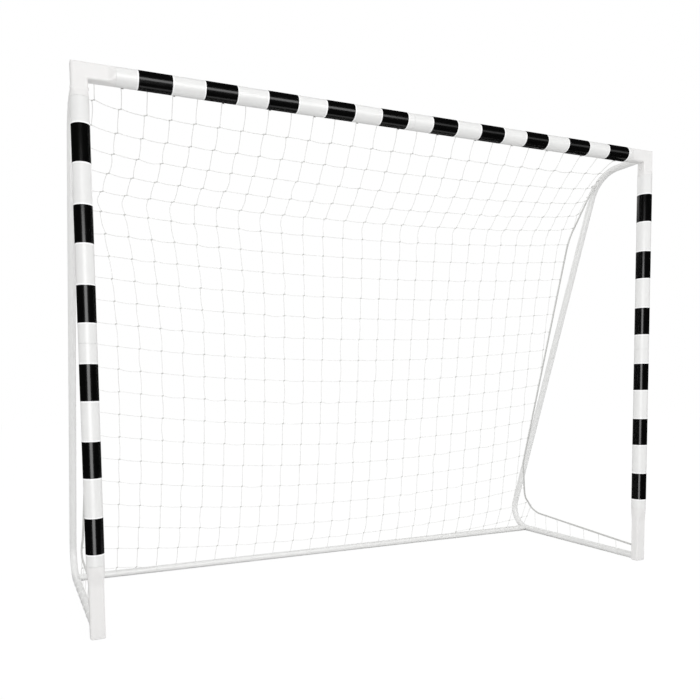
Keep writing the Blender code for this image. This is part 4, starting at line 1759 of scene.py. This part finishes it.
@dataclass
class EdgeRopes:
    """The rope down each side of the net and the narrow net below its straight run."""

    finishes: Finishes
    form: NetForm = field(default_factory=NetForm)
    sides: int = 10
    strip_depths: tuple[float, ...] = (0.628, 0.549, 0.469, 0.383, 0.295, 0.204, 0.104)
    strip_lean: float = 0.003
    cord_starts: float = 0.004
    cord_ends: float = 0.020
    twine_radius: float = 0.0012
    tie_points: int = 48
    tie_size: float = 0.0022
    tie_radius: float = 0.0022

    def build(self) -> None:
        """Builds both sides."""
        for side in Side:
            self.rope(side)
            self.strip(side)

    def rope(self, side: Side) -> None:
        """Builds one edge rope and the knot that ties it to its tube.

        Args:
            side: The goal's side.
        """
        rope = self.finishes.rope
        route = self.form.rope_route(side)
        name = f"{side.label}_edge_cord"
        node = f"edge_rope_{side.label}"
        place_cords(name, [route], SIZES.rope_radius, rope, self.sides, stands_for=[node])
        line = self.tie(side, route[0])
        place_cords(f"{name}_tie", [line], self.tie_radius, rope, self.sides, ring=True)

    def tie(self, side: Side, start: Vector) -> list[Vector]:
        """Leads a cord through an overhand knot.

        Args:
            side: The goal's side.
            start: The rope's first point.

        Returns:
            The knot's points, the last of which comes just before the first.
        """
        middle = start - ALONG_X * side.value * self.tie_radius
        points = []
        for step in range(self.tie_points):
            turn = step / self.tie_points * math.tau
            ahead = ALONG_Y * self.tie_size * (math.sin(turn) + 2 * math.sin(2 * turn))
            up = ALONG_Z * self.tie_size * (math.cos(turn) - 2 * math.cos(2 * turn))
            points.append(middle + ahead + up - ALONG_X * self.tie_size * math.sin(3 * turn))
        return points

    def rope_z(self, depth: float) -> float:
        """Height of the rope's straight run at a depth.

        Args:
            depth: Distance behind the posts' axes.

        Returns:
            The height.
        """
        low = self.form.folds()[2].y - SIZES.post_y - self.form.turn_run
        share = (depth - SIZES.foot_depth / 2) / (low - SIZES.foot_depth / 2)
        return self.form.rope_foot_z + (self.form.rope_low_z - self.form.rope_foot_z) * share

    def strip(self, side: Side) -> None:
        """Builds the strands from the rope's straight run to the ground tube, and the cord along it.

        Args:
            side: The goal's side.
        """
        s = SIZES
        top_x = side.value * abs(self.form.rope_x(side, 0.0))
        seat = (s.side_radius + self.twine_radius) * math.sqrt(0.5)
        low_x, low_z = side.value * (s.post_x - seat), s.ground_z + seat
        lines = []
        for depth in self.strip_depths:
            low = s.at(low_x, depth + self.strip_lean, low_z)
            lines.append([s.at(top_x, depth, self.rope_z(depth)), low])
        first = s.foot_depth / 2 + self.cord_starts
        last = self.form.folds()[2].y - s.post_y - self.cord_ends
        lines.append([s.at(low_x, first, low_z), s.at(low_x, last, low_z)])
        name, node = f"{side.label}_side_strip_strands", f"side_net_{side.label}"
        place_cords(name, lines, self.twine_radius, self.finishes.twine, stands_for=[node])


@dataclass
class Lacing:
    """What holds the net on the tubes: hooks on the crossbar and a laced cord on the ground tubes."""

    finishes: Finishes
    net: Net
    ropes: EdgeRopes
    twine_radius: float = 0.0012
    loop_steps: int = 24
    loop_pitch: float = 0.006
    rear_seat_degrees: float = 62.0
    side_seat_degrees: tuple[float, float] = (90.0, 45.0)
    hook_width: float = 0.007
    hook_thickness: float = 0.0012
    hook_off_tube: float = 0.0014
    # The hook's line: degrees up from the crossbar's rear, and how far it stands off its own seat
    hook_line: tuple[tuple[float, float], ...] = (
        (24, 0.0), (8, 0.0), (-12, 0.0), (-30, 0.0), (-38, 0.0004), (-43, 0.0020), (-49, 0.0026),
        (-54, 0.0018),
    )

    def build(self) -> None:
        """Builds the hooks and the three laced cords."""
        self.hooks()
        s = SIZES
        stops = [point.x for point in self.net.along(self.net.grid.last_row + 1)]
        axis = s.at(0, rear_depth(), s.ground_z)
        self.laced("rear_lacing", axis, ALONG_X, stops, self.rear_seat_degrees)
        for side in Side:
            axis = s.at(side.value * s.post_x, 0, s.ground_z)
            depths = self.ropes.strip_depths[::-1]
            top, turned = self.side_seat_degrees
            self.laced(f"{side.label}_ground_lacing", axis, ALONG_Y, depths, top + turned * side.value)

    def laced(
        self, name: str, axis: Vector, along: Vector, stops: Sequence[float], seat_degrees: float
    ) -> None:
        """Builds a cord that runs along a ground tube and goes once round it at each stop.

        Args:
            name: The piece's name.
            axis: A point of the tube's axis, at distance 0 along it.
            along: The tube's heading.
            stops: Distances along the tube at which the cord goes round it.
            seat_degrees: Where on the tube the cord runs between the stops.
        """
        reach = SIZES.side_radius + self.twine_radius / 4
        across = -ALONG_Y if along is ALONG_X else ALONG_X
        points: list[Vector] = []
        for stop in stops:
            for step in range(self.loop_steps + 1):
                turn = math.radians(seat_degrees) + math.tau * step / self.loop_steps
                distance = stop - self.loop_pitch / 2 + self.loop_pitch * step / self.loop_steps
                point = axis + along * distance
                point += across * reach * math.cos(turn)
                point += ALONG_Z * reach * math.sin(turn)
                point.z = max(point.z, self.twine_radius)
                points.append(point)
        place_cords(name, [points], self.twine_radius, self.finishes.twine)

    def hooks(self) -> None:
        """Builds the small hooks behind the crossbar that the net's head cord lies in."""
        wide, half = self.hook_width / 2, self.hook_thickness / 2
        section = [(wide, half), (-wide, half), (-wide, -half), (wide, -half)]
        stations = []
        for degrees, beyond in self.hook_line:
            turn = math.radians(degrees)
            reach = SIZES.post_radius + self.hook_off_tube + beyond
            stations.append((Vector((0, reach * math.cos(turn), reach * math.sin(turn))), section))
        mesh = solid_mesh("hook_shape", stations, ALONG_X)
        axis = SIZES.at(0, 0, SIZES.bar_z)
        points = [Vector((point.x, axis.y, axis.z)) for point in self.net.along(0)[1:-1:2]]
        name = "crossbar_net_hooks"
        place_copies(name, mesh, points, UNTURNED, self.finishes.clip)


class LampPart(Enum):
    """What a lamp is there for."""

    LIGHT = "light"
    CARD = "card"


@dataclass(frozen=True)
class Studio:
    """The pale floor, the soft lamps and the camera at the photo's viewpoint."""

    focal_px: float = 692.995
    centre_x: float = 287.554
    centre_y: float = 435.154
    pitch: float = -0.0674
    yaw: float = -0.3873
    roll: float = 0.0152
    place: tuple[float, float, float] = (-1.4193, -2.2364, 0.7857)
    image: int = 700
    sensor_mm: float = 36.0
    view_reach: float = 60.0
    fill: float = 1.12
    reflected: float = 0.02
    floor_half_width: float = 14.0
    floor_below: float = 0.0005
    floor_colour: str = "DCDCDC"
    floor_roughness: float = 0.9
    floor_glow: float = 1.022
    floor_glow_share: float = 0.93

    def camera(self) -> None:
        """Sets the camera from the measured focal length, centre and angles."""
        data = bpy.data.cameras.new("photo_camera")
        data.sensor_fit = "HORIZONTAL"
        data.sensor_width = self.sensor_mm
        data.lens = self.focal_px / self.image * self.sensor_mm
        data.shift_x = (self.image / 2 - self.centre_x) / self.image
        data.shift_y = (self.centre_y - self.image / 2) / self.image
        data.clip_end = self.view_reach
        camera = bpy.data.objects.new("photo_camera", data)
        turn = Matrix.Rotation(self.yaw, 4, "Z") @ Matrix.Rotation(self.pitch, 4, "X")
        turn = turn @ Matrix.Rotation(self.roll, 4, "Y") @ Matrix.Rotation(math.pi / 2, 4, "X")
        camera.matrix_world = Matrix.Translation(SIZES.at(*self.place)) @ turn
        bpy.context.scene.collection.objects.link(camera)
        bpy.context.scene.camera = camera

    def floor(self) -> None:
        """A plain white floor that the camera sees as white and that keeps the goal's shadow."""
        work = bmesh.new()
        bmesh.ops.create_grid(work, x_segments=2, y_segments=2, size=self.floor_half_width)
        mesh = bpy.data.meshes.new("studio_floor")
        work.to_mesh(mesh)
        work.free()
        floor = bpy.data.objects.new("studio_floor", mesh)
        floor.location.z = -self.floor_below
        material = bpy.data.materials.new("seamless_paper_white")
        material.use_nodes = True
        tree = material.node_tree
        shader = tree.nodes["Principled BSDF"]
        shader.inputs["Base Color"].default_value = linear(self.floor_colour)
        shader.inputs["Roughness"].default_value = self.floor_roughness
        light = {"Color": (1, 1, 1, 1), "Strength": self.floor_glow}
        glow = add_node(tree, "ShaderNodeEmission", values=light)
        seen = add_node(tree, "ShaderNodeLightPath").outputs["Is Camera Ray"]
        product = {"operation": "MULTIPLY"}
        share = add_node(tree, "ShaderNodeMath", product, {1: self.floor_glow_share}, {0: seen})
        parts = {0: share.outputs[0], 1: shader.outputs["BSDF"], 2: glow.outputs["Emission"]}
        mix = add_node(tree, "ShaderNodeMixShader", links=parts)
        tree.links.new(mix.outputs["Shader"], tree.nodes["Material Output"].inputs["Surface"])
        mesh.materials.append(material)
        floor.visible_glossy = False
        bpy.context.scene.collection.objects.link(floor)

    def world(self) -> None:
        """White where the camera looks past the floor, dark in reflections and a soft fill elsewhere."""
        world = bpy.data.worlds.new("studio_world")
        bpy.context.scene.world = world
        world.use_nodes = True
        tree = world.node_tree
        back = tree.nodes["Background"]
        back.inputs["Color"].default_value = (1, 1, 1, 1)
        path = add_node(tree, "ShaderNodeLightPath").outputs
        rays = {0: path["Is Camera Ray"], 1: path["Is Transmission Ray"]}
        seen = add_node(tree, "ShaderNodeMath", {"operation": "MAXIMUM"}, links=rays)
        levels = {"To Min": self.fill, "To Max": self.reflected}
        fill = add_node(tree, "ShaderNodeMapRange", values=levels, links={"Value": path["Is Glossy Ray"]})
        mixed = {"Value": seen.outputs[0], "To Min": fill.outputs["Result"]}
        strength = add_node(tree, "ShaderNodeMapRange", values={"To Max": 1.0}, links=mixed)
        tree.links.new(strength.outputs["Result"], back.inputs["Strength"])

    def lamp(
        self, name: str, place: Vector, aim: Vector, size: tuple[float, float], glow: float, part: LampPart
    ) -> None:
        """Adds one soft rectangular lamp.

        Args:
            name: The lamp's name.
            place: Where its middle is.
            aim: What it points at.
            size: Its width and height.
            glow: Its radiance, where 1 is the white of the background.
            part: Whether it lights the goal or is a card that only reflections see.
        """
        data = bpy.data.lights.new(name, "AREA")
        data.shape = "RECTANGLE"
        data.size, data.size_y = size
        data.energy = glow * math.pi * size[0] * size[1]
        lamp = bpy.data.objects.new(name, data)
        lamp.location = place
        lamp.rotation_euler = (aim - place).to_track_quat("-Z", "Y").to_euler()
        lamp.visible_diffuse = part is LampPart.LIGHT
        lamp.visible_glossy = part is LampPart.CARD
        bpy.context.scene.collection.objects.link(lamp)

    def build(self) -> None:
        """Builds the studio."""
        bpy.context.scene.view_settings.view_transform = "Standard"
        self.camera()
        self.floor()
        self.world()
        at = SIZES.at
        light, card = LampPart.LIGHT, LampPart.CARD
        self.lamp("front_softbox", at(0.2, -3.0, 2.1), at(0.2, 0, 1.6), (2.6, 1.2), 1.5, light)
        self.lamp("front_card", at(0.2, -2.9, 2.07), at(0.2, 0, 1.6), (2.6, 1.2), 3.6, card)
        self.lamp("front_card_end", at(2.9, -2.9, 2.07), at(1.2, 0, 1.6), (2.6, 1.0), 0.9, card)
        self.lamp("strip_card", at(-1.55, -2.65, 0.55), at(0.0, 0.2, 0.55), (1.65, 2.9), 5.2, card)
        self.lamp("floor_card", at(0.0, 0.05, -0.35), at(0.0, 0.05, 1.0), (3.4, 0.7), 0.8, card)
        self.lamp("rear_card", at(0.0, 3.4, 2.7), at(0.0, 0.5, 1.0), (4.5, 0.8), 1.6, card)
        LOG.info("studio is set")

    def flag_posts(self) -> None:
        """Flags the front cards off the posts, whose bands reflect the strip card alone in the photo."""
        flagged = bpy.data.collections.new("posts_behind_the_flag")
        for piece in bpy.context.scene.objects:
            if "_post_" in piece.name:
                flagged.objects.link(piece)
        for member in flagged.collection_objects:
            member.light_linking.link_state = "EXCLUDE"
        for name in ("front_card", "front_card_end"):
            bpy.data.objects[name].light_linking.receiver_collection = flagged


def main() -> None:
    """Builds every sub-assembly in order."""
    logging.basicConfig(level=logging.INFO, format="%(name)s: %(message)s")
    studio = Studio()
    studio.build()
    finishes = Finishes()
    PostTubes(finishes).build()
    Bands(finishes).build()
    Blocks(finishes).build()
    SideFrames(finishes).build()
    GroundBar(finishes).build()
    SnapButtons(finishes).build()
    HiddenStubs(finishes).build()
    net = Net(finishes)
    net.build()
    ropes = EdgeRopes(finishes)
    ropes.build()
    Lacing(finishes, net, ropes).build()
    studio.flag_posts()


if __name__ == "__main__":
    main()
